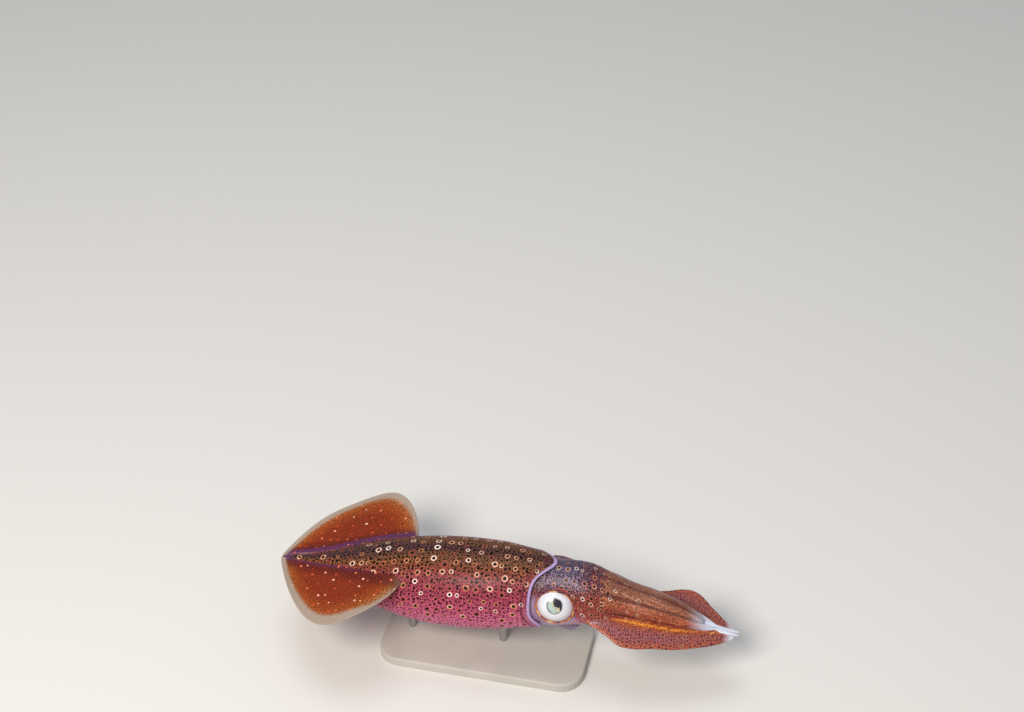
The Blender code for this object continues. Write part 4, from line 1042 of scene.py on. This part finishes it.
def sucker_rows(name, places, axes, sizes, columns=12):
    """Cups on given places, one mesh for all: the cup's profile of (height, radius) pairs turned about each
    axis and scaled by each size. The profile starts and ends on the axis, so every cup is closed."""
    axes = axes / np.linalg.norm(axes, axis=1)[:, None]
    first = np.cross(axes, [1.0, 0, 0])
    first /= np.linalg.norm(first, axis=1)[:, None]
    second = np.cross(axes, first)
    height, radius = np.array(CUP).T
    turn = np.linspace(0, 2 * math.pi, columns, endpoint=False)[:, None]
    circle = np.cos(turn) * first[:, None, None] + np.sin(turn) * second[:, None, None]
    rings = circle * radius[1:-1, None, None] + axes[:, None, None] * height[1:-1, None, None]
    ends = axes[:, None] * height[[0, -1], None]
    count, inner_rings = len(places), len(CUP) - 2
    cup = np.concatenate([rings.reshape(count, -1, 3), ends], 1)
    points = places[:, None] + cup * sizes[:, None, None]
    i, j = np.divmod(np.arange((inner_rings - 1) * columns), columns)
    low, high, last = inner_rings * columns, inner_rings * columns + 1, (inner_rings - 1) * columns
    start = np.arange(count)[:, None, None] * cup.shape[1]
    quads = start + np.stack([i * columns + j, i * columns + (j + 1) % columns,
                              (i + 1) * columns + (j + 1) % columns, (i + 1) * columns + j], -1)
    j = np.arange(columns)
    fans = start + np.vstack([np.stack([0 * j + low, (j + 1) % columns, j], -1),
                              np.stack([0 * j + high, last + j, last + (j + 1) % columns], -1)])
    mesh = bpy.data.meshes.new(name)
    mesh.from_pydata(points.reshape(-1, 3), [], quads.reshape(-1, 4).tolist() + fans.reshape(-1, 3).tolist())
    depth = np.concatenate([np.repeat(np.arange(1, inner_rings + 1), columns), [0, inner_rings + 1]])
    depth = np.tile(depth, count).astype(np.float32)
    mesh.attributes.new("depth", "FLOAT", "POINT").data.foreach_set("value", depth)
    mesh.shade_smooth()
    return placed(name, mesh)


# Sucker flesh: pale, with a dark amber horny ring inside the rim and a dull violet hollow.
horn, tree = new_finish("sucker_flesh_with_horny_ring", Roughness=0.4, Specular_IOR_Level=0.4)
depth = node(tree, "Attribute", attribute_name="depth", output="Fac")
depth = node(tree, "Math", (depth, 1 / (len(CUP) - 1)), operation="MULTIPLY")
shade(tree, Base_Color=node(tree, "ValToRGB", (depth,), [
    (0.0, "#c9b4b8"), (0.6, "#e2d6da"), (0.74, "#7a5232"), (0.85, "#8c7080"), (1.0, "#6e5668")]))

step = np.arange(2 * SUCKER_PAIRS)
hand = np.where(step % 2, 1.0, -1.0)[:, None]
lean = math.sqrt(1 - SUCKER_SPREAD**2)
for side in SIDES:
    places, axes, sizes = [], [], []
    for arm, shape in ARMS.items():
        t = shape["reach"] * (SUCKER_RUN[0] + SUCKER_RUN[1] * (step / step[-1]) ** SUCKER_CROWDING)
        centre, outward, width, depth, _ = arm_places(arm, side, t)
        across = np.cross([1, 0, 0], outward) * hand
        narrow = (width * (1 - ARM_EGG * lean))[:, None]
        places.append(centre - outward * depth[:, None] * lean + across * narrow * SUCKER_SPREAD)
        axes.append(-outward * lean / depth[:, None] + across * SUCKER_SPREAD / narrow)
        sizes.append(np.maximum(SUCKER_SHARE * width, SUCKER_SMALLEST))
    made = sucker_rows(f"suckers_{side}", np.vstack(places), np.vstack(axes), np.concatenate(sizes))
    made.data.materials.append(horn)
    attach(made, "root")


# Stand. A flat board of moulded ABS with eased edges and a fine matt grain, 0.4 mm across, and two short
# brushed-steel rods that are let into it and hold the body from below.
board, tree = new_finish("matt_moulded_abs", Specular_IOR_Level=0.35)
place = node(tree, "TexCoord", output="Object")
fine = node(tree, "TexNoise", (place, 2500.0, 3.0))
cloud = node(tree, "TexNoise", (place, 35.0, 2.0))
shade(tree, Base_Color=painted(tree, "#bdb9b0", [(cloud, (0.35, 0.65), "#b6b2a9")]),
      Roughness=node(tree, "MapRange", (cloud, 0, 1, 0.5, 0.62)),
      Normal=node(tree, "Bump", {"Strength": 0.15, "Distance": 0.00004, "Height": fine}))

# Brushed stainless steel: fine grooves run round the rod, 0.1 mm apart.
steel, tree = new_finish("brushed_stainless_steel", Metallic=1.0)
place = node(tree, "TexCoord", output="Object")
grooves = node(tree, "VectorMath", (place, (250.0, 250.0, 9000.0)), operation="MULTIPLY")
grooves = node(tree, "TexNoise", (grooves, 1.0, 3.0))
shade(tree, Base_Color=node(tree, "ValToRGB", (grooves,), [(0.3, "#a9abac"), (0.7, "#c6c7c8")]),
      Roughness=node(tree, "MapRange", (grooves, 0, 1, 0.26, 0.42)),
      Normal=node(tree, "Bump", {"Strength": 0.2, "Distance": 0.00003, "Height": grooves}))

for name, finish in {"stand_base": board, "stand_rod_rear": steel, "stand_rod_front": steel}.items():
    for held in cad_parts[name].material_slots:
        held.material = finish
